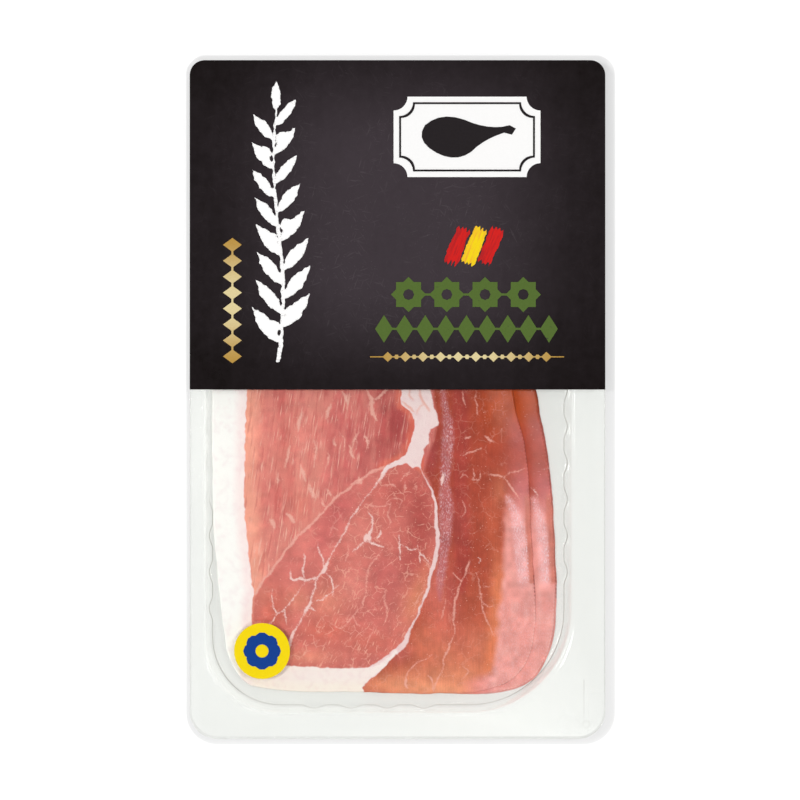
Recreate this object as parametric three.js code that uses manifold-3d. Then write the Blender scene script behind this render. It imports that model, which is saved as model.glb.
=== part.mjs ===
// A retail pack of sliced dry-cured ham: a shallow clear tray with fluted walls, three slices laid
// one over the other in it, a clear lidding film sealed to the tray's flange, and a dark printed
// field with plain ornaments on the film's upper half.
//
// Millimetres, +Z up. The tray's base stands on Z = 0, X = 0 and Y = 0 are the middle of the pack,
// and +Y runs to the printed end.

import * as THREE from 'three';
import { mergeVertices } from 'three/addons/utils/BufferGeometryUtils.js';
import Module from 'manifold-3d';

const wasm = await Module();
wasm.setup();

// ---------------------------------------------------------------- driving dimensions

const PACK = { width: 150, length: 245, cornerTop: 5.4, cornerBottom: 9.8 };
const TRAY_HEIGHT = 10;
const SHEET = 0.5;
const FILM = 0.25;
const INK = 0.125;

// the mouth of the tray, where its wall meets the flange; the right flange is the wide one, and the
// near right corner is cut rounder, which leaves a broad corner of flange to peel from
const MOUTH = { left: -69.3, right: 62.6, bottom: -113, top: 113 };
const MOUTH_CORNERS = { nearLeft: 27, nearRight: 36.5, farRight: 25, farLeft: 25 };
const WALL_LEAN = 2.2;
const HEEL = { height: 1, inset: 0.8 };

// upright flutes that swell out of the lower wall and die out at the mouth; base and swell shape the
// wave so that its valleys are wide and flat
const FLUTE = { depth: 1.2, steps: 6, base: 0.25, swell: 0.75 };
const FLUTES = {
  near: { count: 4, pitch: 13.25, middle: -10.4 },
  right: { count: 11, pitch: 13.2, middle: 3.4 },
  far: { count: 5, pitch: 13.25, middle: -3.35 },
  left: { count: 12, pitch: 13.2, middle: -3.2 },
};
const CORNER_STEPS = 7;

const SLICE = 1.75;
const SLICE_POINTS = 64;
const EDGE_ROUND = 0.5;
// how far the ham's right margin sinks, and over which width
const TOP_MARGIN = { drop: 1.1, width: 12 };
const LOWER_MARGIN = { drop: 0.8, width: 7 };
const RIPPLE = { height: 0.3, lengthX: 64, lengthY: 92, rings: [0.72, 0.46, 0.2] };

const LID_Z = TRAY_HEIGHT;
const PANEL_Z = LID_Z + FILM;
const ORNAMENT_Z = PANEL_Z + INK;
const MARK_Z = ORNAMENT_Z + INK;
const PANEL_EDGE = 3.6;

// steps along a curve; a circle gets twice as many sides
const STEPS = { plain: 5, leaf: 4, star: 4, bead: 3, eye: 8, seal: 18 };
// vertices nearer than this are one
const WELD = 1e-4;

// ---------------------------------------------------------------- outlines of the ham

// every slice is a spline through the points of its own cut right side and these shared ones;
// the far end lies under the printed field
const FAR_END = [[38, 35], [30, 68], [12, 96], [-20, 105], [-50, 96], [-63, 66], [-66.6, 32]];
const FAT_SIDE = [[-67.3, 3], [-67.3, -18], [-67, -40], [-65.9, -58], [-63.7, -79.6], [-60.8, -94]];
const NEAR_END = [[-54.5, -102.8], [-45, -105.2], [-13.5, -106.1], [12, -106.7]];
const RIGHT_SIDES = {
  slice_top: [
    [33, -105.1], [43.7, -99.5], [49, -89], [50, -72.7], [48.9, -54.3], [48.1, -36.3], [47, -22],
    [45.2, -12], [42.8, -3],
  ],
  slice_middle: [
    [36, -106.1], [48.8, -101], [55.5, -88.6], [57.1, -74.2], [56.8, -52.5], [55, -28], [53.1, -14.6],
    [51.4, -6.5], [49.7, 4],
  ],
  slice_bottom: [
    [37, -106.4], [49.5, -101.3], [56.2, -88.8], [57.8, -74.2], [57.3, -52.5], [55.6, -28], [53.7, -14.6],
    [52, -6.5], [50.2, 4],
  ],
};
const LEFT_INSET = { slice_top: 0, slice_middle: 0.9, slice_bottom: 1.8 };

// ---------------------------------------------------------------- closed skins from rings

function indexed(positions, faces) {
  const geometry = new THREE.BufferGeometry();
  geometry.setAttribute('position', new THREE.Float32BufferAttribute(positions, 3));
  geometry.setIndex(Array.from(faces));
  geometry.computeVertexNormals();
  return geometry;
}

// Rings of equal length, each anticlockwise from above, joined in order; the first and last are capped.
function skinOf(rings) {
  const count = rings[0].length;
  const positions = rings.flat().flatMap((p) => [p.x, p.y, p.z]);
  const faces = [];
  for (let r = 0; r < rings.length - 1; r += 1) {
    for (let i = 0; i < count; i += 1) {
      const a = r * count + i;
      const b = r * count + ((i + 1) % count);
      faces.push(a, b, b + count, a, b + count, a + count);
    }
  }
  const flat = (ring) => ring.map((p) => new THREE.Vector2(p.x, p.y));
  const last = (rings.length - 1) * count;
  for (const [a, b, c] of THREE.ShapeUtils.triangulateShape(flat(rings[0]), [])) faces.push(a, c, b);
  for (const [a, b, c] of THREE.ShapeUtils.triangulateShape(flat(rings.at(-1)), [])) {
    faces.push(last + a, last + b, last + c);
  }
  return indexed(positions, faces);
}

// ---------------------------------------------------------------- tray

// How far a flute stands out at one of its steps, from 0 in the valley to 1 on the crest.
function fluteSwell(step) {
  const wave = Math.cos((2 * Math.PI * step) / FLUTE.steps);
  return THREE.MathUtils.clamp(FLUTE.base - FLUTE.swell * wave, 0, 1);
}

// Points along one straight side: its stations in mm along the side, and how far each swells out.
function stations({ count, pitch, middle }) {
  return Array.from({ length: count * FLUTE.steps + 1 }, (_, step) => ({
    at: middle + (step / FLUTE.steps - count / 2) * pitch,
    swell: fluteSwell(step),
  }));
}

function cornerArc(x, y, radius, from) {
  return Array.from({ length: CORNER_STEPS + 1 }, (_, i) => {
    const angle = (from + i / CORNER_STEPS) * (Math.PI / 2);
    return [x + radius * Math.cos(angle), y + radius * Math.sin(angle)];
  });
}

// One ring of the tray: a round-cornered rectangle with the flutes' stations on every side.
function trayRing({ left, right, bottom, top, radii, z, swell = 0 }) {
  const [nearLeft, nearRight, farRight, farLeft] = radii;
  const near = stations(FLUTES.near);
  const rightSide = stations(FLUTES.right);
  const far = stations(FLUTES.far).toReversed();
  const leftSide = stations(FLUTES.left).toReversed();
  const out = FLUTE.depth * swell;
  const points = [
    ...near.map((s) => [s.at, bottom - out * s.swell]),
    ...cornerArc(right - nearRight, bottom + nearRight, nearRight, 3),
    ...rightSide.map((s) => [right + out * s.swell, s.at]),
    ...cornerArc(right - farRight, top - farRight, farRight, 0),
    ...far.map((s) => [s.at, top + out * s.swell]),
    ...cornerArc(left + farLeft, top - farLeft, farLeft, 1),
    ...leftSide.map((s) => [left - out * s.swell, s.at]),
    ...cornerArc(left + nearLeft, bottom + nearLeft, nearLeft, 2),
  ];
  return points.map(([x, y]) => new THREE.Vector3(x, y, z));
}

function mouthRing(inset, z, swell = 0) {
  return trayRing({
    left: MOUTH.left + inset,
    right: MOUTH.right - inset,
    bottom: MOUTH.bottom + inset,
    top: MOUTH.top - inset,
    radii: Object.values(MOUTH_CORNERS).map((radius) => radius - inset),
    z,
    swell,
  });
}

function flangeRing(z) {
  return trayRing({
    left: -PACK.width / 2,
    right: PACK.width / 2,
    bottom: -PACK.length / 2,
    top: PACK.length / 2,
    radii: [PACK.cornerBottom, PACK.cornerBottom, PACK.cornerTop, PACK.cornerTop],
    z,
  });
}

function trayGeometry() {
  const floorInset = WALL_LEAN + HEEL.inset;
  return skinOf([
    mouthRing(floorInset - SHEET / 2, 0, 1),
    mouthRing(WALL_LEAN - SHEET, HEEL.height, 1),
    mouthRing(-SHEET, TRAY_HEIGHT - SHEET),
    flangeRing(TRAY_HEIGHT - SHEET),
    flangeRing(TRAY_HEIGHT),
    mouthRing(0, TRAY_HEIGHT),
    mouthRing(WALL_LEAN, SHEET + HEEL.height, 1),
    mouthRing(floorInset, SHEET, 1),
  ]);
}

// ---------------------------------------------------------------- ham slices

function sliceOutline(name) {
  const left = FAT_SIDE.map(([x, y]) => [x + LEFT_INSET[name], y]);
  const through = [...NEAR_END, ...RIGHT_SIDES[name], ...FAR_END, ...left];
  const spline = new THREE.CatmullRomCurve3(through.map(([x, y]) => new THREE.Vector3(x, y, 0)), true);
  return spline.getSpacedPoints(SLICE_POINTS).slice(0, SLICE_POINTS);
}

// The unit outward direction at each point of an anticlockwise outline.
function outward(outline) {
  return outline.map((_, i) => {
    const before = outline.at(i - 1);
    const after = outline[(i + 1) % outline.length];
    return new THREE.Vector3(after.y - before.y, before.x - after.x, 0).normalize();
  });
}

// A slice with a flat underside at z = 0. Its margin sinks to the right, and its top may ripple.
function sliceGeometry(name, margin, ripple) {
  const outline = sliceOutline(name);
  const normals = outward(outline);
  const surface = (x, y) => {
    const wave = Math.sin((2 * Math.PI * x) / RIPPLE.lengthX + (4 * Math.PI * y) / RIPPLE.lengthY);
    return SLICE + ripple * (0.5 + 0.5 * wave * Math.cos((2 * Math.PI * y) / RIPPLE.lengthY));
  };
  const ringAt = (inset, height) => outline.map((p, i) => {
    const q = p.clone().addScaledVector(normals[i], -inset);
    const sink = margin.drop * Math.max(0, normals[i].x) * (1 - Math.min(1, inset / margin.width)) ** 2;
    q.z = height(q, sink);
    return q;
  });
  const onTop = (p, sink) => surface(p.x, p.y) - sink;
  const margins = [EDGE_ROUND, margin.width / 2, margin.width];
  const rings = [
    ringAt(EDGE_ROUND, () => 0),
    ringAt(0, (p, sink) => (surface(p.x, p.y) - sink) / 2),
    ...margins.map((inset) => ringAt(inset, onTop)),
  ];
  if (ripple > 0) {
    for (const share of RIPPLE.rings) {
      const ring = outline.map((p) => p.clone().multiplyScalar(share));
      rings.push(ring.map((p) => p.setZ(surface(p.x, p.y))));
    }
  }
  return skinOf(rings);
}

// ---------------------------------------------------------------- flat printed shapes

function plate(shape, depth = INK, curveSegments = STEPS.plain) {
  return new THREE.ExtrudeGeometry(shape, { depth, bevelEnabled: false, curveSegments });
}

function polygon(points) {
  return new THREE.Shape(points.map(([x, y]) => new THREE.Vector2(x, y)));
}

function rectangle(width, height, x = 0, y = 0) {
  const [w, h] = [width / 2, height / 2];
  return polygon([[x - w, y - h], [x + w, y - h], [x + w, y + h], [x - w, y + h]]);
}

function lozenge(width, height, x = 0, y = 0) {
  return polygon([[x + width / 2, y], [x, y + height / 2], [x - width / 2, y], [x, y - height / 2]]);
}

function disc(radius, x = 0, y = 0) {
  return new THREE.Shape().absarc(x, y, radius, 0, 2 * Math.PI, false);
}

// The pack's outline from the given bottom edge up; at the pack's own near edge its corners are round.
function packOutline(bottom = -PACK.length / 2) {
  const quarter = Math.PI / 2;
  const [side, top, round] = [PACK.width / 2, PACK.length / 2, PACK.cornerBottom];
  const shape = new THREE.Shape();
  if (bottom > -PACK.length / 2) {
    shape.moveTo(-side, bottom);
    shape.lineTo(side, bottom);
  } else {
    shape.absarc(-side + round, bottom + round, round, 2 * quarter, 3 * quarter, false);
    shape.absarc(side - round, bottom + round, round, -quarter, 0, false);
  }
  shape.absarc(side - PACK.cornerTop, top - PACK.cornerTop, PACK.cornerTop, 0, quarter, false);
  shape.absarc(-side + PACK.cornerTop, top - PACK.cornerTop, PACK.cornerTop, quarter, 2 * quarter, false);
  return shape;
}

function toSolid(geometry) {
  const bare = geometry.clone();
  bare.deleteAttribute('normal');
  bare.deleteAttribute('uv');
  const merged = mergeVertices(bare, WELD);
  return new wasm.Manifold(new wasm.Mesh({
    numProp: 3,
    vertProperties: new Float32Array(merged.attributes.position.array),
    triVerts: new Uint32Array(merged.index.array),
  }));
}

function toGeometry(solid) {
  const { vertProperties, triVerts } = solid.getMesh();
  return indexed(vertProperties, triVerts);
}

function fuse(geometries) {
  return toGeometry(geometries.map(toSolid).reduce((whole, part) => whole.add(part)));
}

// ---------------------------------------------------------------- ornaments, each about its own middle

const SPRIG = {
  length: 97,
  stem: { width: 1.7, sway: 1.8, taper: 0.5, reach: 0.97, steps: 16 },
  leaf: { length: 17, width: 5.4, belly: 0.45, lean: 38, last: 0.68 },
  rows: { count: 8, first: 0.07, span: 0.86, stagger: 0.25, tip: 0.93 },
  olive: { radius: 2.5, below: 0.045, aside: 3, everyRows: 3 },
};
const CHAIN = { length: 46, links: 8, link: [6.8, 5], line: 0.7 };
const PLAQUE = { width: 53, height: 29, scoop: 5, lineInset: 2, line: 0.7 };
const DAB = { width: 5.2, length: 15, pitch: 6.1, lean: -22, teeth: 4, tooth: 2.2, shortest: 0.4 };
const UPPER_FRIEZE = { stars: 4, pitch: 13.8, size: 9, eye: 2, line: 0.8 };
const LOWER_FRIEZE = { length: 67, lozenges: 9, lozenge: [6.4, 10], line: 0.8 };
const RULE = { length: 70, lozenges: 10, lozenge: [3.8, 3.6], bead: 0.9, line: 0.4 };
const SEAL = { radius: 10.1, petals: 8, petalAt: 3.9, petal: 2.9, eye: 2.4 };

// a whole ham on the bone, lying down: a straight-cut hoof, then curves along shank, thigh and back
const HAM_MARK = {
  hoof: [[15.4, 3.6], [17.6, 2.4], [16.2, 0.2], [13.4, 0.9]],
  sides: [
    { bend: [6, -1.4], to: [1.5, -6] },
    { bend: [-4, -10], to: [-11, -6.4] },
    { bend: [-19, -2], to: [-15.2, 3.6] },
    { bend: [-9.6, 8.6], to: [-1, 5.6] },
    { bend: [6, 2.4], to: [12.6, 3] },
  ],
};

// a lens-shaped leaf from the origin along +X
function leafPlate(scale) {
  const [length, width] = [SPRIG.leaf.length * scale, SPRIG.leaf.width * scale];
  const belly = SPRIG.leaf.belly * length;
  const shape = new THREE.Shape().moveTo(0, 0);
  shape.quadraticCurveTo(belly, width, length, 0);
  shape.quadraticCurveTo(belly, -width, 0, 0);
  return plate(shape, INK, STEPS.leaf);
}

// The middle of the sprig's stem, from its foot at 0 to its top at 1.
function stemAt(t) {
  return new THREE.Vector2(SPRIG.stem.sway * Math.sin(2 * Math.PI * t), SPRIG.length * (t - 0.5));
}

function stemPlate() {
  const { width, taper, reach, steps } = SPRIG.stem;
  const edge = (side) => Array.from({ length: steps + 1 }, (_, i) => {
    const t = i / steps;
    const p = stemAt(reach * t);
    return [p.x + (side * width * (1 - taper * t)) / 2, p.y];
  });
  return plate(polygon([...edge(1), ...edge(-1).toReversed()]));
}

function sprigGeometry() {
  const { leaf, rows, olive } = SPRIG;
  const pieces = [stemPlate()];
  for (let i = 0; i < rows.count; i += 1) {
    for (const side of [-1, 1]) {
      const t = rows.first + (rows.span * (i + rows.stagger * (1 + side))) / rows.count;
      const foot = stemAt(t);
      const turn = Math.PI / 2 - side * THREE.MathUtils.degToRad(leaf.lean);
      const grown = leafPlate(THREE.MathUtils.lerp(1, leaf.last, t));
      pieces.push(grown.rotateZ(turn).translate(foot.x, foot.y, 0));
      if (i % olive.everyRows === 1) {
        const below = stemAt(t - olive.below);
        pieces.push(plate(disc(olive.radius, below.x + side * olive.aside, below.y)));
      }
    }
  }
  const top = stemAt(rows.tip);
  pieces.push(leafPlate(leaf.last).rotateZ(Math.PI / 2).translate(top.x, top.y, 0));
  return fuse(pieces);
}

// Lozenges in a row along a line, centred, step apart from one to the next.
function lozengeRow(count, step, [width, height], upright = false) {
  return Array.from({ length: count }, (_, i) => {
    const at = (i - (count - 1) / 2) * step;
    return upright ? lozenge(width, height, 0, at) : lozenge(width, height, at);
  });
}

function chainGeometry() {
  const { length, links, link, line } = CHAIN;
  const step = length / links;
  const shapes = [rectangle(line, length - step), ...lozengeRow(links, step, link, true)];
  return fuse(shapes.map((shape) => plate(shape)));
}

// a rectangle whose corners are scooped out by quarter circles
function scooped(inset) {
  const [w, h, r] = [PLAQUE.width / 2 - inset, PLAQUE.height / 2 - inset, PLAQUE.scoop];
  const quarter = Math.PI / 2;
  const shape = new THREE.Shape();
  shape.absarc(w, h, r, 3 * quarter, 2 * quarter, true);
  shape.absarc(-w, h, r, 0, -quarter, true);
  shape.absarc(-w, -h, r, quarter, 0, true);
  shape.absarc(w, -h, r, 2 * quarter, quarter, true);
  return shape;
}

function plaqueLineGeometry() {
  const shape = scooped(PLAQUE.lineInset);
  shape.holes.push(scooped(PLAQUE.lineInset + PLAQUE.line));
  return plate(shape);
}

function plaqueMarkGeometry() {
  const [start, ...corners] = HAM_MARK.hoof;
  const shape = new THREE.Shape().moveTo(...start);
  for (const corner of corners) shape.lineTo(...corner);
  for (const { bend, to } of HAM_MARK.sides) shape.quadraticCurveTo(...bend, ...to);
  return plate(shape);
}

// one dab of a dry brush: straight flanks, and ends that fray into teeth of uneven length
function dabGeometry(seed) {
  const [w, h] = [DAB.width / 2, DAB.length / 2];
  const { lerp, seededRandom, degToRad } = THREE.MathUtils;
  seededRandom(seed);
  const fray = (side) => Array.from({ length: DAB.teeth * 2 + 1 }, (_, i) => {
    const depth = i % 2 === 0 ? DAB.tooth * lerp(DAB.shortest, 1, seededRandom()) : 0;
    return [side * w * (i / DAB.teeth - 1), side * (depth - h)];
  });
  return plate(polygon([...fray(1), ...fray(-1)])).rotateZ(degToRad(DAB.lean));
}

function upperFriezeGeometry() {
  const { stars, pitch, size, eye, line } = UPPER_FRIEZE;
  const pieces = [];
  for (let i = 0; i < stars; i += 1) {
    const x = (i - (stars - 1) / 2) * pitch;
    for (const turn of [0, Math.PI / 4]) {
      const square = rectangle(size, size);
      square.holes.push(disc(eye));
      pieces.push(plate(square, INK, STEPS.star).rotateZ(turn).translate(x, 0, 0));
    }
    if (i > 0) pieces.push(plate(rectangle(pitch - size, line, x - pitch / 2)));
  }
  return fuse(pieces);
}

function lowerFriezeGeometry() {
  const { length, lozenges, line } = LOWER_FRIEZE;
  const step = length / lozenges;
  const shapes = [rectangle(length - step, line), ...lozengeRow(lozenges, step, LOWER_FRIEZE.lozenge)];
  return fuse(shapes.map((shape) => plate(shape)));
}

function ruleGeometry() {
  const { length, lozenges, bead, line } = RULE;
  const step = length / (lozenges + 1);
  const row = lozengeRow(lozenges, step, RULE.lozenge);
  const beads = row.slice(1).map((_, i) => disc(bead, (i + 1 - lozenges / 2) * step));
  return fuse([...row, ...beads, rectangle(length, line)].map((shape) => plate(shape, INK, STEPS.bead)));
}

function rosetteGeometry() {
  const petals = Array.from({ length: SEAL.petals }, (_, i) => {
    const angle = (2 * Math.PI * i) / SEAL.petals;
    return disc(SEAL.petal, SEAL.petalAt * Math.cos(angle), SEAL.petalAt * Math.sin(angle));
  });
  const whole = toSolid(fuse([...petals, disc(SEAL.petalAt)].map((shape) => plate(shape))));
  const eye = toSolid(plate(disc(SEAL.eye), 3 * INK, STEPS.eye).translate(0, 0, -INK));
  return toGeometry(whole.subtract(eye));
}

// ---------------------------------------------------------------- finishes

const finish = (color, roughness, opacity = 1) => new THREE.MeshStandardMaterial({
  color,
  roughness,
  metalness: 0,
  opacity,
  transparent: opacity < 1,
});

const FINISHES = {
  clear: finish(0xe8ece6, 0.12, 0.35),
  ham: finish(0xcf6c60, 0.38),
  black: finish(0x2b2728, 0.45),
  chalk: finish(0xf4f3f0, 0.8),
  gold: finish(0xb39a55, 0.4),
  white: finish(0xf7f7f5, 0.45),
  red: finish(0xd2232a, 0.5),
  yellow: finish(0xffe10a, 0.45),
  green: finish(0x5c7b34, 0.5),
  blue: finish(0x14418f, 0.45),
};

// ---------------------------------------------------------------- the pack

// the middles of the ornaments
const PLACES = {
  sprig: [-43, 62],
  chain: [-59.6, 35.7],
  plaque: [25.1, 94.8],
  mark: [25.1, 95.4],
  dabs: [27.6, 55.4],
  upperFrieze: [24.7, 37.9],
  lowerFrieze: [24.9, 25.5],
  rule: [25.1, 15.4],
  seal: [-48.9, -90.8],
};

const group = new THREE.Group();

function add(name, geometry, material, z = 0, [x, y] = [0, 0]) {
  const mesh = new THREE.Mesh(geometry, FINISHES[material]);
  mesh.name = name;
  mesh.position.set(x, y, z);
  group.add(mesh);
}

add('tray', trayGeometry(), 'clear');
add('slice_bottom', sliceGeometry('slice_bottom', LOWER_MARGIN, 0), 'ham', SHEET);
add('slice_middle', sliceGeometry('slice_middle', LOWER_MARGIN, 0), 'ham', SHEET + SLICE);
add('slice_top', sliceGeometry('slice_top', TOP_MARGIN, RIPPLE.height), 'ham', SHEET + 2 * SLICE);

add('lid_film', plate(packOutline(), FILM), 'clear', LID_Z);
add('print_panel', plate(packOutline(PANEL_EDGE)), 'black', PANEL_Z);

add('chalk_sprig', sprigGeometry(), 'chalk', ORNAMENT_Z, PLACES.sprig);
add('gold_chain', chainGeometry(), 'gold', ORNAMENT_Z, PLACES.chain);
add('plaque', plate(scooped(0)), 'white', ORNAMENT_Z, PLACES.plaque);
add('plaque_line', plaqueLineGeometry(), 'black', MARK_Z, PLACES.plaque);
add('plaque_mark', plaqueMarkGeometry(), 'black', MARK_Z, PLACES.mark);
['red', 'yellow', 'red'].forEach((color, i) => {
  const [middle, y] = PLACES.dabs;
  add(`brush_dab_${i + 1}`, dabGeometry(i + 1), color, ORNAMENT_Z, [middle + (i - 1) * DAB.pitch, y]);
});
add('frieze_upper', upperFriezeGeometry(), 'green', ORNAMENT_Z, PLACES.upperFrieze);
add('frieze_lower', lowerFriezeGeometry(), 'green', ORNAMENT_Z, PLACES.lowerFrieze);
add('gold_rule', ruleGeometry(), 'gold', ORNAMENT_Z, PLACES.rule);
add('seal_disc', plate(disc(SEAL.radius), INK, STEPS.seal), 'yellow', PANEL_Z, PLACES.seal);
add('seal_rosette', rosetteGeometry(), 'blue', ORNAMENT_Z, PLACES.seal);

export default group;
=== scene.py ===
import math

import bmesh
import bpy
import numpy as np
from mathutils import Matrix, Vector
from mathutils.geometry import delaunay_2d_cdt


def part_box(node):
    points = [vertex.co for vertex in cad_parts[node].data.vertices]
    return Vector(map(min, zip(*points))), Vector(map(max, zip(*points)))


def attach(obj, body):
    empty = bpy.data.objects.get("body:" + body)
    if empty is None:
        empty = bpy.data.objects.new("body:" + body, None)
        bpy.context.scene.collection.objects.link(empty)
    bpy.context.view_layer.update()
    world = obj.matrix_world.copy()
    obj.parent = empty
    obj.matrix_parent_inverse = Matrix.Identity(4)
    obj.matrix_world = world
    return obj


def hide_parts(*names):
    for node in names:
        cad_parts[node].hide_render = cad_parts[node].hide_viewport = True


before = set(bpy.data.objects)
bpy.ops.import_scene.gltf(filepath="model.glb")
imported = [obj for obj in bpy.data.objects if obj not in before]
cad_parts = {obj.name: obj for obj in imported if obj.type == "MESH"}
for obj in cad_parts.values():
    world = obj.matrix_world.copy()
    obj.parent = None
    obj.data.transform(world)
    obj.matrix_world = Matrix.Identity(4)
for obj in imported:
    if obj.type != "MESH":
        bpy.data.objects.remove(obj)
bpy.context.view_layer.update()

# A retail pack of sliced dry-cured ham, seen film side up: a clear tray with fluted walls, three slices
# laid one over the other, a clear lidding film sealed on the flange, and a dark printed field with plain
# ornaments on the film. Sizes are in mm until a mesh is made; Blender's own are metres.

MM = 0.001

# ---------------------------------------------------------------- sizes shared with the CAD part

PACK = {"width": 150, "length": 245, "corner_top": 5.4, "corner_bottom": 9.8}
TRAY_HEIGHT, SHEET, FILM = 10, 0.5, 0.25
MOUTH = {"left": -69.3, "right": 62.6, "bottom": -113, "top": 113,
         "near left corner": 27, "near right corner": 36.5, "far corner": 25}
WALL_LEAN, HEEL_HEIGHT, HEEL_INSET = 2.2, 1.0, 0.8
FLUTE = {"depth": 1.2, "long pitch": 13.2, "short pitch": 13.25,
         "left middle": -3.2, "left count": 12, "right middle": 3.4, "right count": 11,
         "near middle": -10.4, "near count": 4, "far middle": -3.35, "far count": 5}
LID_TOP = TRAY_HEIGHT + FILM
PANEL_EDGE = 3.6    # the printed field starts here, along the pack
SEAL = {"x": -48.9, "y": -90.8, "radius": 10.1}

SLICE = 1.75
SLICE_BASE = {"slice_bottom": 0.5, "slice_middle": 2.25, "slice_top": 4.0}
MARGIN_DROP = {"slice_bottom": 0.8, "slice_middle": 0.8, "slice_top": 1.1}
MARGIN_WIDTH = {"slice_bottom": 7, "slice_middle": 7, "slice_top": 10.5}
LEFT_INSET = {"slice_bottom": 1.8, "slice_middle": 0.9, "slice_top": 0}
FAR_END = [(38, 35), (30, 68), (12, 96), (-20, 105), (-50, 96), (-63, 66), (-66.6, 32)]
FAT_SIDE = [(-67.3, 3), (-67.3, -18), (-67, -40), (-65.9, -58), (-63.7, -79.6), (-60.8, -94)]
NEAR_END = [(-54.5, -102.8), (-45, -105.2), (-13.5, -106.1), (12, -106.7)]
RIGHT_SIDE = {
    "slice_top": [(33, -105.1), (43.7, -99.5), (49, -89), (50, -72.7), (48.9, -54.3), (48.1, -36.3),
                  (47, -22), (45.2, -12), (42.8, -3)],
    "slice_middle": [(36, -106.1), (48.8, -101), (55.5, -88.6), (57.1, -74.2), (56.8, -52.5), (55, -28),
                     (53.1, -14.6), (51.4, -6.5), (49.7, 4)],
    "slice_bottom": [(37, -106.4), (49.5, -101.3), (56.2, -88.8), (57.8, -74.2), (57.3, -52.5), (55.6, -28),
                     (53.7, -14.6), (52, -6.5), (50.2, 4)],
}

# ---------------------------------------------------------------- the photograph's frame

# The photograph looks straight down. One of its pixels is 0.361 mm, and the pack's middle is at this pixel.
PIXEL = 0.361
PACK_MIDDLE = (397.5, 399.5)
PHOTO_WIDTH = 800
LENS, SENSOR = 200, 36
CLIP = (0.05, 50)

# ---------------------------------------------------------------- numbers over a surface


def smooth(low, high, x):
    t = np.clip((x - low) / (high - low), 0, 1)
    return t * t * (3 - 2 * t)


def wander(x, y, size, seed):
    """Seeded smooth noise from -1 to 1, in bumps about size across."""
    table = np.random.default_rng(seed).uniform(-1, 1, (64, 64))
    x, y = np.asarray(x) / size, np.asarray(y) / size
    i, j = np.floor(x).astype(int), np.floor(y).astype(int)
    fx, fy = x - i, y - j
    fx, fy = fx * fx * (3 - 2 * fx), fy * fy * (3 - 2 * fy)
    near = table[i % 64, j % 64] * (1 - fx) + table[(i + 1) % 64, j % 64] * fx
    far = table[i % 64, (j + 1) % 64] * (1 - fx) + table[(i + 1) % 64, (j + 1) % 64] * fx
    return near * (1 - fy) + far * fy


def rounded_line(points, steps, closed=False):
    """A centripetal spline through points of any width, as the CAD part draws its outlines."""
    p = np.array(points, float)
    if closed:
        ends = np.vstack([p[-1:], p, p[:2]])
    else:
        ends = np.vstack([2 * p[0] - p[1], p, 2 * p[-1] - p[-2]])
    out = []
    for a, b, c, d in zip(ends, ends[1:], ends[2:], ends[3:]):
        ta, tb, tc = (max(np.hypot(*(q - r)[:2]) ** 0.5, 1e-4) for q, r in ((b, a), (c, b), (d, c)))
        m1 = ((b - a) / ta - (c - a) / (ta + tb) + (c - b) / tb) * tb
        m2 = ((c - b) / tb - (d - b) / (tb + tc) + (d - c) / tc) * tb
        t = np.linspace(0, 1, steps, endpoint=False)[:, None]
        out.append((2 * t**3 - 3 * t**2 + 1) * b + (t**3 - 2 * t**2 + t) * m1
                   + (3 * t**2 - 2 * t**3) * c + (t**3 - t**2) * m2)
    line = np.vstack(out)
    return line if closed else np.vstack([line, p[-1:]])


def even_spacing(ring, spacing):
    """The same closed line with its points that far apart."""
    path = np.vstack([ring, ring[:1]])
    run = np.concatenate([[0], np.cumsum(np.hypot(*np.diff(path[:, :2], axis=0).T))])
    count = max(3, int(round(run[-1] / spacing)))
    at = np.linspace(0, run[-1], count, endpoint=False)
    return np.stack([np.interp(at, run, column) for column in path.T], 1)


def outward(ring):
    """The unit outward direction at each point of an anticlockwise ring."""
    step = np.roll(ring, -1, 0) - np.roll(ring, 1, 0)
    normal = np.stack([step[:, 1], -step[:, 0]], 1)
    return normal / np.linalg.norm(normal, axis=1)[:, None]


def depth_in(points, x, y):
    """Distance in from a closed outline, negative outside it."""
    inside, nearest = np.zeros(x.shape, bool), np.full(x.shape, np.inf)
    for (ax, ay), (bx, by) in zip(points, list(points[1:]) + list(points[:1])):
        run = (bx - ax) ** 2 + (by - ay) ** 2 + 1e-12
        t = np.clip(((x - ax) * (bx - ax) + (y - ay) * (by - ay)) / run, 0, 1)
        nearest = np.minimum(nearest, np.hypot(x - ax - t * (bx - ax), y - ay - t * (by - ay)))
        with np.errstate(divide="ignore", invalid="ignore"):
            inside ^= ((ay > y) != (by > y)) & (x < (bx - ax) * (y - ay) / (by - ay) + ax)
    return np.where(inside, nearest, -nearest)


def depth_in_strand(points, x, y, reach=8):
    """Depth inside a tapering strand of (x, y, half-width) points, -reach where it is far."""
    depth = np.full(x.shape, -float(reach))
    p = np.array(points, float)
    near = ((x > p[:, 0].min() - reach) & (x < p[:, 0].max() + reach)
            & (y > p[:, 1].min() - reach) & (y < p[:, 1].max() + reach))
    xs, ys = x[near], y[near]
    best = depth[near]
    for (ax, ay, aw), (bx, by, bw) in zip(p, p[1:]):
        run = (bx - ax) ** 2 + (by - ay) ** 2 + 1e-12
        t = np.clip(((xs - ax) * (bx - ax) + (ys - ay) * (by - ay)) / run, 0, 1)
        gap = np.hypot(xs - ax - t * (bx - ax), ys - ay - t * (by - ay))
        best = np.maximum(best, aw + t * (bw - aw) - gap)
    depth[near] = best
    return depth


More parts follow.
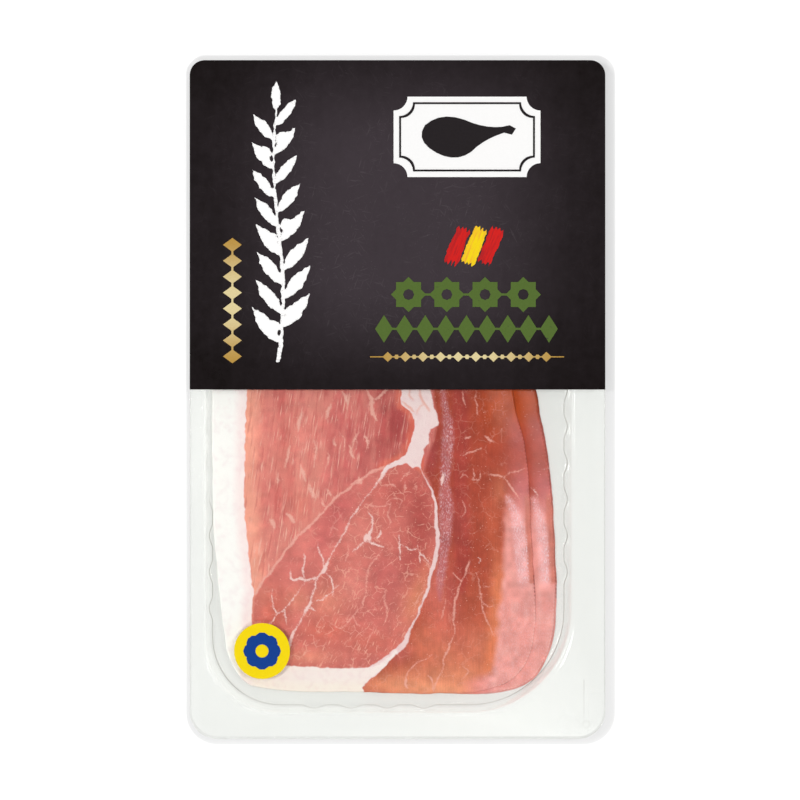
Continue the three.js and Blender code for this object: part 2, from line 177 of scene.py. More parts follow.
def rounded_box_depth(x, y, left, right, bottom, top, corner):
    """Depth inside a round-cornered rectangle, negative outside it."""
    qx = np.abs(x - (left + right) / 2) - (right - left) / 2 + corner
    qy = np.abs(y - (bottom + top) / 2) - (top - bottom) / 2 + corner
    return corner - np.hypot(np.maximum(qx, 0), np.maximum(qy, 0)) - np.minimum(np.maximum(qx, qy), 0)


def mouth_depth(x, y):
    """Depth inside the tray's mouth, negative over its flange."""
    near_corner = np.where(x > 0, MOUTH["near right corner"], MOUTH["near left corner"])
    corner = np.where(y > 0, MOUTH["far corner"], near_corner)
    return rounded_box_depth(x, y, *(MOUTH[k] for k in ("left", "right", "bottom", "top")), corner)


# ---------------------------------------------------------------- colours

LIGHT_LEVEL = 1.16    # what a white card lying flat in this light would read, so inks are darker by it
FILM_PASS = 0.88      # light that crosses the lidding film down and up again
BRIGHTEST = 0.95      # no surface sends back more light than this


def linear_of(screen):
    """Blender's linear values of 0-255 screen colours."""
    share = np.asarray(screen) / 255
    return np.where(share <= 0.04045, share / 12.92, ((share + 0.055) / 1.055) ** 2.4)


def seen(red, green, blue, level=LIGHT_LEVEL):
    """The surface colour that reads as this screen colour in this light."""
    return tuple(float(c) for c in np.minimum(linear_of((red, green, blue)) / level, BRIGHTEST))


def seen_under_film(red, green, blue):
    return seen(red, green, blue, LIGHT_LEVEL * FILM_PASS)


def tones_under_film(tones):
    """Surface colours, with an alpha of 1, of many tones as seen through the film."""
    linear = linear_of(np.clip(tones, 0, 255)) / (LIGHT_LEVEL * FILM_PASS)
    return np.column_stack([linear, np.ones(len(tones))])


# ---------------------------------------------------------------- node trees written as expressions


class Value:
    """A node's output. Arithmetic on it adds Math nodes."""

    def __init__(self, tree, socket):
        self.tree, self.socket = tree, socket

    def __add__(self, other):
        return self.tree.maths("ADD", self, other)

    def __radd__(self, other):
        return self.tree.maths("ADD", other, self)

    def __sub__(self, other):
        return self.tree.maths("SUBTRACT", self, other)

    def __rsub__(self, other):
        return self.tree.maths("SUBTRACT", other, self)

    def __mul__(self, other):
        return self.tree.maths("MULTIPLY", self, other)

    def __rmul__(self, other):
        return self.tree.maths("MULTIPLY", other, self)

    def __truediv__(self, other):
        return self.tree.maths("DIVIDE", self, other)

    def __pow__(self, other):
        return self.tree.maths("POWER", self, other)

    def __gt__(self, other):
        return self.tree.maths("GREATER_THAN", self, other)

    def __lt__(self, other):
        return self.tree.maths("LESS_THAN", self, other)


def pick(sockets, key):
    """A socket by its number, or by its name among those that the node's settings leave on."""
    if isinstance(key, int):
        return sockets[key]
    return next(socket for socket in sockets if socket.name == key and socket.enabled)


class Tree:
    """Adds nodes to a shader or geometry node tree."""

    def __init__(self, nodes):
        self.nodes = nodes

    def add(self, kind, settings=None, sockets=None, out=0):
        node = self.nodes.nodes.new(kind)
        for key, value in (settings or {}).items():
            setattr(node, key, value)
        for key, value in (sockets or {}).items():
            self.feed(pick(node.inputs, key), value)
        return Value(self, pick(node.outputs, out)) if len(node.outputs) else node

    def feed(self, socket, value):
        if isinstance(value, Value):
            self.nodes.links.new(value.socket, socket)
        elif socket.type == "RGBA" and len(value) == 3:
            socket.default_value = (*value, 1)
        else:
            socket.default_value = value

    def maths(self, operation, *values, clamp=False):
        settings = {"operation": operation, "use_clamp": clamp}
        return self.add("ShaderNodeMath", settings, dict(enumerate(values)))

    def vectors(self, operation, *values, scale=None):
        sockets = dict(enumerate(values))
        if scale is not None:
            sockets["Scale"] = scale
        return self.add("ShaderNodeVectorMath", {"operation": operation}, sockets)

    def ease(self, low, high, value, start=0.0, end=1.0):
        """start below low, end above high, and smooth between."""
        return self.add("ShaderNodeMapRange", {"interpolation_type": "SMOOTHSTEP"},
                        {"Value": value, "From Min": low, "From Max": high, "To Min": start, "To Max": end})

    def mix(self, share, a, b, blend="MIX"):
        return self.add("ShaderNodeMix", {"data_type": "RGBA", "blend_type": blend},
                        {"Factor": share, "A": a, "B": b}, out="Result")

    def tinted(self, colour, pattern, low, high):
        """A colour times low where a pattern is 0 and times high where it is 1."""
        return self.mix(1.0, colour, self.mix(pattern, low, high), "MULTIPLY")

    def shaded(self, colour, pattern, depth):
        """A colour made darker and lighter by a pattern, up to depth either way."""
        return self.tinted(colour, pattern, (1 - depth,) * 3, (1 + depth,) * 3)

    def place(self):
        """Object coordinates in mm."""
        return self.vectors("SCALE", self.add("ShaderNodeTexCoord", out="Object"), scale=1 / MM)

    def drawn_out(self, place, lean=0, length=1, shift=0):
        """Coordinates in which a pattern comes out length times longer, on a line that leans to the right."""
        moved = self.vectors("ADD", place, (shift, -shift, 0))
        return self.add("ShaderNodeMapping", {"vector_type": "TEXTURE"},
                        {"Vector": moved, "Rotation": (0, 0, -math.radians(lean)), "Scale": (1, length, 1)})

    def split(self, vector):
        node = self.add("ShaderNodeSeparateXYZ", None, {0: vector}).socket.node
        return [Value(self, output) for output in node.outputs]

    def noise(self, place, per_mm, detail=2.0, roughness=0.5, out="Fac"):
        return self.add("ShaderNodeTexNoise", None,
                        {"Vector": place, "Scale": per_mm, "Detail": detail, "Roughness": roughness}, out=out)

    def dots(self, place, per_mm, radius):
        """Round spots, one to a random cell, of a radius in cells."""
        distance = self.add("ShaderNodeTexVoronoi", {"feature": "F1"}, {"Vector": place, "Scale": per_mm})
        return self.ease(radius, 0.55 * radius, distance)

    def cracks(self, place, per_mm):
        """Distance to the walls between random cells."""
        return self.add("ShaderNodeTexVoronoi", {"feature": "DISTANCE_TO_EDGE"},
                        {"Vector": place, "Scale": per_mm})

    def field(self, name, out="Fac"):
        """A number, or with out="Color" a colour, that the mesh carries at its points."""
        return self.add("ShaderNodeAttribute", {"attribute_name": name}, out=out)

    def bump(self, height_mm, strength=1.0):
        return self.add("ShaderNodeBump", None, {"Height": height_mm, "Distance": MM, "Strength": strength})


def new_material(name, build):
    material = bpy.data.materials.new(name)
    material.use_nodes = True
    material.node_tree.nodes.clear()
    tree = Tree(material.node_tree)
    tree.add("ShaderNodeOutputMaterial", None, {"Surface": build(tree)})
    return material


def coated(tree, colour, roughness, normal=None, **constants):
    """A Principled surface. constants are numbers set on its own sockets."""
    sockets = {"Base Color": colour, "Roughness": roughness}
    sockets.update({key.replace("_", " "): value for key, value in constants.items()})
    if normal is not None:
        sockets["Normal"] = normal
    return tree.add("ShaderNodeBsdfPrincipled", None, sockets)


# ---------------------------------------------------------------- ham: where its fat, seams and tones lie

# All of this is placed in the photograph's pixels, as (across, down).
FAT_RIM_EDGE = [(246, 250), (247, 380), (245.5, 410), (245, 447), (243.5, 485), (245, 520), (247, 540),
                (249, 560), (251, 575), (251.5, 585), (254, 590), (252, 600), (250.5, 615), (253, 645),
                (258, 668), (262, 720)]
FAT_STRIP = [(240, 664), (262, 667), (289, 666), (310, 667.5), (335, 669), (358, 669), (371, 667.5),
             (379, 664), (387, 659), (396, 650), (399, 653), (391, 659), (385, 667), (379, 672), (372, 678),
             (366, 684), (363, 688), (364, 702), (240, 702)]
FAT_KNOT = [(401, 330), (401, 390), (402, 405), (412, 413), (415, 420), (414, 430), (410, 445), (405, 455),
            (397, 460), (388, 465), (384, 470), (382, 475), (385, 474), (390, 469), (398, 465), (407, 464),
            (412, 469), (417, 467), (420, 469), (421, 462), (424, 450), (429, 443), (429, 435), (431, 429),
            (438.5, 426), (440, 423), (437, 415), (433, 407), (430, 390), (429, 330)]
# the last number of each point is the seam's half-width there
RIGHT_SEAM = [(412, 465, 0.5), (418, 468, 0.3), (425, 477, 0.3), (429, 484, 0.7), (433, 492, 1.1),
              (435.5, 505, 1.5), (436.5, 525, 1.8), (437.5, 545, 2), (434.5, 561, 2.1), (431, 575, 1.7),
              (426.5, 593, 1.3), (420, 609, 1.0), (410, 632, 1.2), (404, 645, 2.4), (392, 655, 2.3),
              (384, 662, 3.4), (372, 672, 6)]
SEAM_A = [(385, 468), (372, 472), (360, 480), (345, 491), (330, 504), (313, 523), (300, 534), (290, 545),
          (277, 563), (264, 580), (255, 595)]
SEAM_A_WIDTH = 1.2
SEAM_B = [(383, 474), (375, 487), (362, 502), (355, 513), (350, 520), (343, 535), (334, 550), (327, 562),
          (324, 570), (318, 577), (314, 590), (311, 598), (308, 607), (303, 616), (299, 624), (294, 631),
          (291, 638), (289, 648)]
SEAM_B_WIDTHS = [2.2, 0.5, 0.4, 0.9, 0.5, 0.8, 0.6, 0.9, 2.1, 0.6, 1.0, 0.6, 1.9, 0.6, 0.6, 0.9, 1.7, 1.0]

# strands of fat: (half-width, points)
WHITE_STRANDS = [
    (1.3, [(318, 577), (313, 579), (306, 582), (300, 580), (291, 579), (291, 574), (290, 569)]),
    (0.8, [(306, 582), (298, 593), (291, 602), (284, 610), (278, 614), (273, 606), (271, 597), (272, 590)]),
    (0.7, [(284, 610), (285, 618), (286, 626)]),
    (0.7, [(278, 614), (271, 622), (266, 630)]),
    (1.0, [(303, 553), (305, 562), (302, 573), (304, 580)]),
    (0.8, [(318, 545), (319, 552), (322, 558), (323, 568)]),
    (0.9, [(326, 573), (331, 579), (333, 590), (334, 598)]),
    (0.7, [(333, 590), (339, 586)]),
    (0.6, [(309, 605), (322, 599), (333, 592)]),
    (0.8, [(309, 608), (316, 612)]),
    (3.2, [(364, 541), (367, 537), (369, 541)]),
    (0.8, [(366, 541), (373, 526), (371, 518), (368, 512)]),
    (1.3, [(366, 541), (375, 545), (384, 548)]),
    (1.7, [(366, 541), (370, 534), (373, 527)]),
    (0.9, [(364, 541), (358, 547), (352, 552)]),
    (1.3, [(377, 540), (380, 536), (380, 531)]),
    (0.9, [(399, 535), (399.5, 548), (400, 560)]),
    (0.7, [(400, 546), (405, 547), (410, 551), (417, 548), (419, 543)]),
    (0.8, [(431, 566), (425, 557), (420, 553), (418, 549)]),
    (0.7, [(420, 553), (420, 562)]),
    (0.8, [(531, 486), (536, 492), (541, 500)]),
    (0.5, [(533, 475), (541, 471), (549, 468)]),
    (1.8, [(443, 474), (443, 480), (442, 486)]),
    (0.5, [(477, 558), (481, 560), (479, 564)]),
]
SOFT_STRANDS = [
    (1.7, [(343, 391), (345, 397), (347, 404)]),
    (1.6, [(388, 389), (381, 395), (374, 401)]),
    (1.9, [(367, 390), (371, 400), (372, 411), (376, 421)]),
    (2.0, [(301, 412), (299, 422), (298, 432)]),
    (1.6, [(330, 403), (328, 411), (326, 419)]),
    (1.9, [(300, 465), (302, 472), (305, 482)]),
    (1.7, [(309, 485), (311, 491), (314, 497)]),
    (1.4, [(290, 446), (288, 456), (285, 467)]),
    (1.3, [(278, 473), (278, 479), (277, 484)]),
    (2.4, [(286, 514), (290, 518), (293, 523)]),
    (2.0, [(270, 520), (273, 523), (275, 528)]),
    (1.1, [(315, 441), (315, 453), (314, 467)]),
    (1.2, [(327, 489), (329, 494), (331, 498)]),
    (1.4, [(349, 446), (351, 452), (354, 459)]),
    (1.1, [(359, 433), (355, 440), (352, 448)]),
    (1.2, [(365, 436), (367, 442), (368, 448)]),
    (1.0, [(334, 438), (334, 443), (336, 447)]),
    (1.0, [(327, 453), (328, 459), (328, 465)]),
    (1.6, [(358, 478), (360, 482), (357, 485)]),
    (1.2, [(322, 500), (323, 504), (325, 507)]),
]
KNOT_VEINS = [
    (1.2, [(421, 388), (421, 397), (424, 404), (430, 411)]),
    (1.0, [(403, 402), (410, 408), (415, 412)]),
    (0.7, [(411, 388), (409, 395), (412, 401)]),
    (0.6, [(424, 404), (419, 408), (417, 414)]),
]
PALE_STRANDS = [
    (1.2, [(470, 560), (468, 567), (465, 576)]),
    (1.0, [(465, 576), (460, 586), (457, 596), (454, 608), (453, 620), (455, 634)]),
    (0.9, [(455, 634), (450, 646), (444, 658), (443, 669)]),
    (0.6, [(443, 669), (438, 680), (434, 691)]),
    (0.6, [(454, 573), (458, 579), (462, 583)]),
    (1.3, [(405, 678), (406, 684), (408, 690)]),
    (0.6, [(433, 654), (421, 662), (411, 670), (405, 678)]),
    (0.6, [(433, 690), (432, 682), (428, 676)]),
    (1.1, [(491, 475), (498, 476), (504, 478)]),
    (0.8, [(504, 478), (510, 485), (515, 492), (520, 499)]),
    (0.6, [(504, 478), (511, 473), (519, 471), (527, 469)]),
    (0.6, [(480, 470), (481, 476), (480, 481), (472, 480)]),
    (1.3, [(465, 439), (468, 438), (471, 437)]),
    (0.9, [(464, 456), (472, 452), (481, 448)]),
    (1.0, [(485, 436), (490, 439), (494, 441)]),
    (0.6, [(400, 482), (406, 475), (411, 469)]),
    (0.5, [(385, 505), (392, 499), (402, 501), (398, 509)]),
    (0.5, [(384, 487), (392, 485), (396, 488)]),
    (0.5, [(404, 487), (406, 482), (404, 490)]),
    (0.5, [(412, 489), (416, 486), (415, 493)]),
    (0.6, [(365, 505), (374, 507), (382, 507), (390, 504)]),
    (0.5, [(391, 503), (388, 515), (391, 523), (386, 530)]),
    (0.6, [(383, 550), (375, 560), (369, 570), (367, 580), (366, 592)]),
    (0.9, [(366, 592), (364, 600), (363, 606)]),
    (0.7, [(363, 606), (355, 615), (348, 622), (340, 629), (330, 624)]),
    (0.5, [(354, 617), (356, 624), (360, 627)]),
    (0.6, [(375, 625), (372, 634), (368, 642), (365, 649)]),
    (0.6, [(386, 590), (384, 600), (387, 610), (386, 622)]),
    (0.5, [(344, 512), (337, 521), (331, 528)]),
    (0.5, [(330, 535), (333, 528), (338, 531)]),
    (0.5, [(348, 545), (347, 556), (345, 563)]),
    (0.6, [(476, 572), (479, 580), (480, 590), (482, 600), (484, 612), (490, 627), (495, 637)]),
    (0.4, [(478, 596), (488, 606), (498, 605)]),
    (0.5, [(474, 482), (475, 475), (473, 469)]),
    (0.6, [(463, 390), (464, 398), (466, 407)]),
    (0.6, [(476, 390), (477, 405), (478, 416)]),
    (0.5, [(468, 478), (463, 474), (460, 478)]),
    (0.5, [(463, 500), (465, 510), (462, 520)]),
    (0.4, [(446, 600), (444, 612), (440, 622)]),
    (0.4, [(485, 586), (489, 588), (493, 586)]),
    (0.5, [(463, 667), (468, 672), (462, 680)]),
    (0.5, [(424, 560), (430, 568), (430, 578)]),
    (0.5, [(424, 590), (418, 600), (412, 612)]),
    (0.4, [(355, 430), (357, 445), (352, 458)]),
    (0.4, [(339, 432), (345, 441), (343, 452)]),
    (0.4, [(364, 435), (367, 445), (366, 452)]),
]

# outlines of the muscles beside the large left one
CENTRE_MUSCLE = SEAM_B + [(290, 667), (335, 669), (371, 667), (392, 654), (403.5, 643), (409, 632),
                          (420.5, 609), (427.5, 593), (434.5, 561), (437.5, 545), (435.5, 505), (431, 484),
                          (411, 464), (396, 464)]
WEDGE_MUSCLE = SEAM_A + [(253, 600), (250, 660), (262, 690), (289, 690)] + SEAM_B[::-1]
RIGHT_MUSCLE = [(434, 330), (434, 400), (438, 421), (434, 440), (427, 460), (424, 472), (431, 484),
                (435.5, 505), (437.5, 545), (434.5, 561), (427.5, 593), (420.5, 609), (409, 632),
                (403.5, 643), (392, 657), (372, 678), (363, 688), (363, 710), (600, 710), (600, 330)]
MUSCLE_BORDER = 2.2    # how far a muscle's look fades in on either side of its outline

# Some of these are painted light and shade: the lilac sheen, the shell pink in part, the glint pink, the
# rim's highlight, shadow and shine, and the lighter near rim.
CORAL, PEACH, DARK_CORAL, LIGHT_CORAL = (213, 123, 114), (245, 172, 147), (198, 99, 93), (228, 148, 134)
ROSE, DEEP_ROSE, SALMON = (199, 103, 101), (170, 74, 73), (222, 112, 92)
BROWN_ROSE, WARM_CORAL, PALE_ORANGE = (181, 86, 79), (214, 115, 97), (230, 147, 123)
LILAC_SHEEN, WINE, CHESTNUT, AMBER = (190, 112, 117), (168, 68, 60), (172, 75, 55), (192, 98, 70)
TAN, APRICOT, SHELL_SHEEN, RUSSET = (213, 128, 96), (229, 149, 112), (238, 166, 157), (187, 89, 58)
RUST = (188, 72, 14)
CREAM, FAT_BY_LEAN, FAT_OF_STRIP = (254, 253, 249), (252, 234, 232), (247, 234, 228)
FAT_AT_END, FAT_OF_KNOT, FAT_OF_SEAM = (248, 237, 225), (240, 217, 215), (238, 208, 206)
KNOT_VEIN, GLOW = (232, 166, 150), (228, 134, 92)
CENTRE_GROUND, DUSK_ROSE, SLOPE_ROSE = (208, 118, 108), (182, 88, 82), (200, 108, 105)
SHELL_LIGHT, SHELL_DARK, GLINT_PINK = (247, 192, 184), (222, 138, 128), (247, 190, 192)
RIM_HIGHLIGHT, RIM_SHADOW, RIM_SHINE, LIP = (236, 152, 142), (120, 52, 50), (250, 205, 195), (206, 120, 102)
MARGIN_ROSE, NEAR_RIM_LIGHT = (174, 72, 66), (238, 162, 122)
LEAN_BALANCE = np.array([0.995, 0.965, 0.97])

# streaks, threads, seams and beads drawn over the lean, and the specks of painted glints
FIBRE_WIDE, FIBRE_DARK, FIBRE_LIGHT = (238, 160, 142), (190, 86, 82), (242, 182, 164)
THREAD, FINE_THREAD, STROKE = (240, 178, 160), (238, 168, 150), (240, 178, 158)
PALE_SEAM, SOFT_SEAM, WHITE_SEAM = (240, 178, 164), (242, 190, 174), (245, 210, 204)
GLINT_SPECK, BEAD = (250, 222, 230), (244, 190, 172)

# soft patches: (colour, across, down, half-width, half-height, lean in degrees, strength)
LEFT_PATCHES = [
    (LIGHT_CORAL, 303, 470, 14, 62, 0, 0.75), (LIGHT_CORAL, 313, 398, 11, 22, 8, 0.55),
    (DARK_CORAL, 285, 452, 8, 30, 0, 0.7), (DARK_CORAL, 287, 505, 8, 22, 0, 0.6),
    (DARK_CORAL, 281, 395, 9, 16, 0, 0.45), (ROSE, 350, 445, 24, 50, 0, 0.85),
    (DEEP_ROSE, 397, 425, 22, 48, 0, 0.95), (DEEP_ROSE, 383, 396, 9, 14, 0, 0.4),
    (LIGHT_CORAL, 325, 470, 9, 30, 0, 0.4), (LIGHT_CORAL, 268, 556, 14, 34, 20, 0.6),
    (WARM_CORAL, 300, 505, 9, 16, 0, 0.4), (ROSE, 331, 470, 8, 20, 20, 0.35),
]
WEDGE_PATCHES = [
    (LIGHT_CORAL, 305, 545, 12, 15, 30, 0.2), (ROSE, 338, 510, 12, 22, 35, 0.75),
    (WARM_CORAL, 272, 612, 18, 26, 0, 0.8), (PALE_ORANGE, 262, 596, 8, 12, 0, 0.35),
    (ROSE, 322, 540, 9, 16, 30, 0.5), (PALE_ORANGE, 298, 600, 13, 12, 0, 0.8),
]
CENTRE_PATCHES = [
    (LIGHT_CORAL, 360, 532, 20, 26, 0, 0.4), (BROWN_ROSE, 421, 520, 13, 42, 0, 0.95),
    (BROWN_ROSE, 400, 492, 18, 18, 0, 0.55), (BROWN_ROSE, 412, 562, 14, 22, 0, 0.6),
    (ROSE, 385, 575, 18, 22, 0, 0.5), (PALE_ORANGE, 327, 602, 22, 17, 0, 0.75),
    (LIGHT_CORAL, 352, 585, 16, 22, 0, 0.5), (WARM_CORAL, 325, 632, 24, 12, 0, 0.8),
    (PALE_ORANGE, 308, 657, 28, 8, 0, 0.85), (APRICOT, 416, 600, 11, 26, 20, 0.75),
    (WARM_CORAL, 372, 644, 28, 12, 0, 0.6), (TAN, 424, 575, 6, 24, 12, 0.35),
    (ROSE, 366, 610, 18, 14, 0, 0.25),
]
RIGHT_PATCHES = [
    (AMBER, 492, 520, 12, 34, 0, 0.6), (RUSSET, 498, 404, 13, 30, 0, 0.75),
    (RUSSET, 529, 400, 11, 22, 0, 0.7), (RUSSET, 494, 545, 9, 30, 0, 0.5),
    (CHESTNUT, 482, 440, 12, 50, 0, 0.4), (WARM_CORAL, 442, 612, 18, 46, 0, 0.95),
    (CORAL, 432, 585, 9, 26, 10, 0.4), (AMBER, 480, 600, 18, 30, 0, 0.6), (TAN, 478, 646, 26, 24, 0, 0.9),
    (WARM_CORAL, 448, 645, 30, 22, 0, 0.6), (BROWN_ROSE, 452, 592, 8, 24, 0, 0.7),
    (TAN, 498, 618, 7, 60, 0, 0.9), (DARK_CORAL, 403, 655, 14, 8, -35, 0.8),
    (APRICOT, 400, 684, 50, 12, 0, 0.95), (APRICOT, 455, 676, 60, 18, 0, 0.85),
    (TAN, 446, 655, 16, 16, 0, 0.7), (DEEP_ROSE, 432, 455, 9, 26, 10, 0.85), (TAN, 422, 642, 16, 22, 0, 0.6),
    (CORAL, 460, 520, 9, 24, 0, 0.6), (RUSSET, 516, 404, 8, 26, 0, 0.8), (AMBER, 497, 395, 9, 12, 0, 0.35),
    (RUST, 511, 400, 26, 32, 0, 0.8), (MARGIN_ROSE, 519, 446, 15, 24, 0, 0.3),
    # the lighter near rim is painted light over the shade of its rounded edge
    (TAN, 500, 490, 8, 18, 0, 0.65), (NEAR_RIM_LIGHT, 440, 690, 60, 8, 0, 0.9),
]
# bands down the right muscle, the sheen ridge a painted lilac sheen; the last number of each point is the
# half-width there
SHEEN_RIDGE = [(443, 350, 2), (443, 390, 2), (445, 408, 2.5), (448, 425, 4.5), (448, 440, 5), (447, 455, 4.5),
               (446, 470, 4), (445, 484, 4), (446, 500, 5.5), (446, 520, 6), (445, 536, 5.5), (443, 560, 4.5),
               (441, 580, 3.5), (440, 600, 1)]
WINE_BAND = [(459, 350, 7), (460, 400, 8), (461, 450, 8), (460, 490, 7.5), (461, 530, 8), (463, 565, 6.5),
             (462, 590, 3)]
BAND_REACH = 20
SLOPE_EDGE = [(505, 330), (505, 470), (503.5, 510), (503, 570), (501, 596), (498, 611), (497, 632),
              (496, 652), (492, 673), (488, 700)]
# painted highlights on the right slopes of the top and middle slices: soft pink bands with a bright line,
# ending at this row
GLINTS_END = 584
GLINT_STRANDS = {
    "slice_top": [(508, 498, 2), (515, 512, 4.5), (519, 530, 5.5), (521.5, 555, 5.5), (524, 586, 5)],
    "slice_middle": [(535, 500, 2.5), (540, 520, 4), (543.5, 545, 4.5), (546, 586, 4.5)],
}
GLINT_LINES = {
    "slice_top": [(526.5, 535, 0.2), (527.5, 550, 0.8), (528, 584, 0.8)],
    "slice_middle": [(546, 530, 0.2), (547.5, 550, 0.7), (548.5, 584, 0.8)],
}

# where a look comes in, from the first number to the second: rows and columns of the photograph, and
# distances in from a slice's rim in its pixels
ROWS = {"fat at end": (677, 689), "slanting strokes": (560, 615), "near end": (600, 680),
        "glow starts": (540, 590), "glow ends": (690, 672), "dusk starts": (400, 430),
        "dusk ends": (470, 440), "rosy slope": (445, 490), "shell slope": (484, 530),
        "shell streaks": (520, 560), "lip": (488, 505),
        "rim light starts": (412, 432), "rim light ends": (575, 562), "rim dark starts": (572, 577),
        "rim dark ends": (603, 597), "rim shine": (590, 610), "glints end": (GLINTS_END + 1, GLINTS_END - 1),
        "glint pink ends": (600, 572), "ridge glints end": (600, 560)}
COLUMNS = {"fat at end": (235, 262), "fibre fades": (335, 380), "lower slopes": (470, 500),
           "near end": (455, 500)}
FROM_RIM = {"lower slopes": (30, 24), "near end": (20, 8), "rosy slope": (26, 8), "dusk": (20, 4),
            "lip": (7, 4.5), "lip line": (1.6, 0.6), "rim light": (1.7, 0.5), "rim dark": (1.6, 0.6),
            "rim shine": (1.8, 0.4)}
KNOT_END, DUSK_START, RIM_START = 424, 470, 500    # columns past which the knot ends, and dusk and rim start


def photo_pixels(x, y):
    return PACK_MIDDLE[0] + x / PIXEL, PACK_MIDDLE[1] - y / PIXEL


def tapered(half_width, points):
    """A rounded strand that thins towards its ends."""
    line = rounded_line(points, 4)
    t = np.linspace(0, 1, len(line))
    return np.column_stack([line, half_width * (0.2 + 0.8 * np.sin(np.pi * np.clip(t, 0.04, 0.96)) ** 0.8)])


def deepest(strands, u, v):
    return np.maximum.reduce([depth_in_strand(tapered(*strand), u, v) for strand in strands])


def paint(tone, patches, u, v):
    """Lays soft patches over a ground tone."""
    for colour, across, down, half_width, half_height, lean, strength in patches:
        c, s = math.cos(math.radians(lean)), math.sin(math.radians(lean))
        a, b = (u - across) * c + (v - down) * s, (v - down) * c - (u - across) * s
        share = strength * np.exp(-((a / half_width) ** 2) - (b / half_height) ** 2)
        tone += share[:, None] * (np.array(colour) - tone)
    return tone


def blend(tone, colour, share):
    tone += share[:, None] * (np.array(colour, float) - tone)
    return tone


def hand_cut(u, v):
    """The same pixels moved a little, so that what is drawn from them wanders."""
    return (u + 1.0 * wander(u, v, 7, 11) + 0.6 * wander(u, v, 2.6, 12),
            v + 1.0 * wander(u, v, 7, 13) + 0.6 * wander(u, v, 2.6, 14))


def right_muscle(name, u, v, u1, v1, e):
    """Its tones, the share of each point on the sloping margin and on the painted sheen's ridge, and its
    painted glints.
    """
    rows = lambda key: smooth(*ROWS[key], v)
    from_rim = lambda key: smooth(*FROM_RIM[key], e)
    at_rim = u > RIM_START
    tone = paint(np.tile(np.array(CHESTNUT, float), (len(u), 1)), RIGHT_PATCHES, u, v)
    wine = smooth(-5, 4, depth_in_strand(rounded_line(WINE_BAND, 4), u1, v1, BAND_REACH))
    tone = blend(tone, WINE, 0.76 * wine)
    # a painted lilac sheen along the ridge
    ridge = smooth(-3, 2, depth_in_strand(rounded_line(SHEEN_RIDGE, 4), u1, v1, BAND_REACH))
    tone = blend(tone, LILAC_SHEEN, 0.7 * ridge)

    # the margin that slopes to the right: rosy above, pale shell pink below, partly the lean's own tone and
    # partly a painted highlight
    if name == "slice_top":
        past = u - np.interp(v, *np.array(SLOPE_EDGE)[:, ::-1].T) - 1.5 * wander(u, v, 8, 22)
        slope = smooth(-3, 5, past)
        tone = blend(tone, GLOW, 0.75 * smooth(-17, -3, past) * rows("glow starts") * rows("glow ends"))
    else:
        slope = from_rim("lower slopes") * smooth(*COLUMNS["lower slopes"], u)
    slope = np.maximum(slope, rows("near end") * from_rim("near end") * smooth(*COLUMNS["near end"], u))
    dusk = from_rim("dusk") * rows("dusk starts") * rows("dusk ends") * (u > DUSK_START)
    tone = blend(tone, DUSK_ROSE, 0.7 * dusk)
    tone = blend(tone, SLOPE_ROSE, rows("rosy slope") * from_rim("rosy slope") * slope)
    tone = blend(tone, SHELL_SHEEN, 0.97 * rows("shell slope") * slope)
    lengthways = wander(u, 0.4 * v, 4.5, 41)
    streaked = slope * rows("shell streaks")
    tone = blend(tone, SHELL_LIGHT, 0.35 * streaked * np.clip(lengthways, 0, 1))
    tone = blend(tone, SHELL_DARK, 0.3 * streaked * np.clip(-lengthways, 0, 1))

    # along the rim: its lip, a painted highlight, a short painted shadow line, and painted light low down
    # where the slices meet
    light = from_rim("rim light") * rows("rim light starts") * rows("rim light ends") * at_rim
    tone = blend(tone, RIM_HIGHLIGHT, 0.6 * light)
    lip = from_rim("lip") * rows("lip") * rows("glints end") * at_rim
    tone = blend(tone, LIP, (0.85 - 0.45 * from_rim("lip line")) * lip)
    if name != "slice_middle":
        dark = from_rim("rim dark") * rows("rim dark starts") * rows("rim dark ends") * at_rim
        tone = blend(tone, RIM_SHADOW, 0.7 * dark)
    if name != "slice_bottom":
        tone = blend(tone, RIM_SHINE, 0.7 * from_rim("rim shine") * rows("rim shine") * at_rim)

    # painted highlights: the glint bands and lines, specks along the sheen ridge, and soft glints on the
    # lower slopes
    glint = np.zeros(len(u))
    if name in GLINT_STRANDS:
        glint = 0.9 * smooth(-3.5, 3, depth_in_strand(rounded_line(GLINT_STRANDS[name], 4), u, v))
        tone = blend(tone, GLINT_PINK, 0.6 * glint * rows("glint pink ends"))
        line = smooth(-0.6, 0.4, depth_in_strand(GLINT_LINES[name], u1, v1))
        glint = np.maximum(glint, 1.6 * line) * rows("glints end")
    clusters = smooth(-0.25, 0.45, wander(u, 0.3 * v, 3.2, 42))
    glint = np.maximum(glint, (0.35 + 0.4 * clusters) * ridge * rows("ridge glints end"))
    return tone, slope, np.maximum(glint, 0.22 * slope * rows("rim shine"))


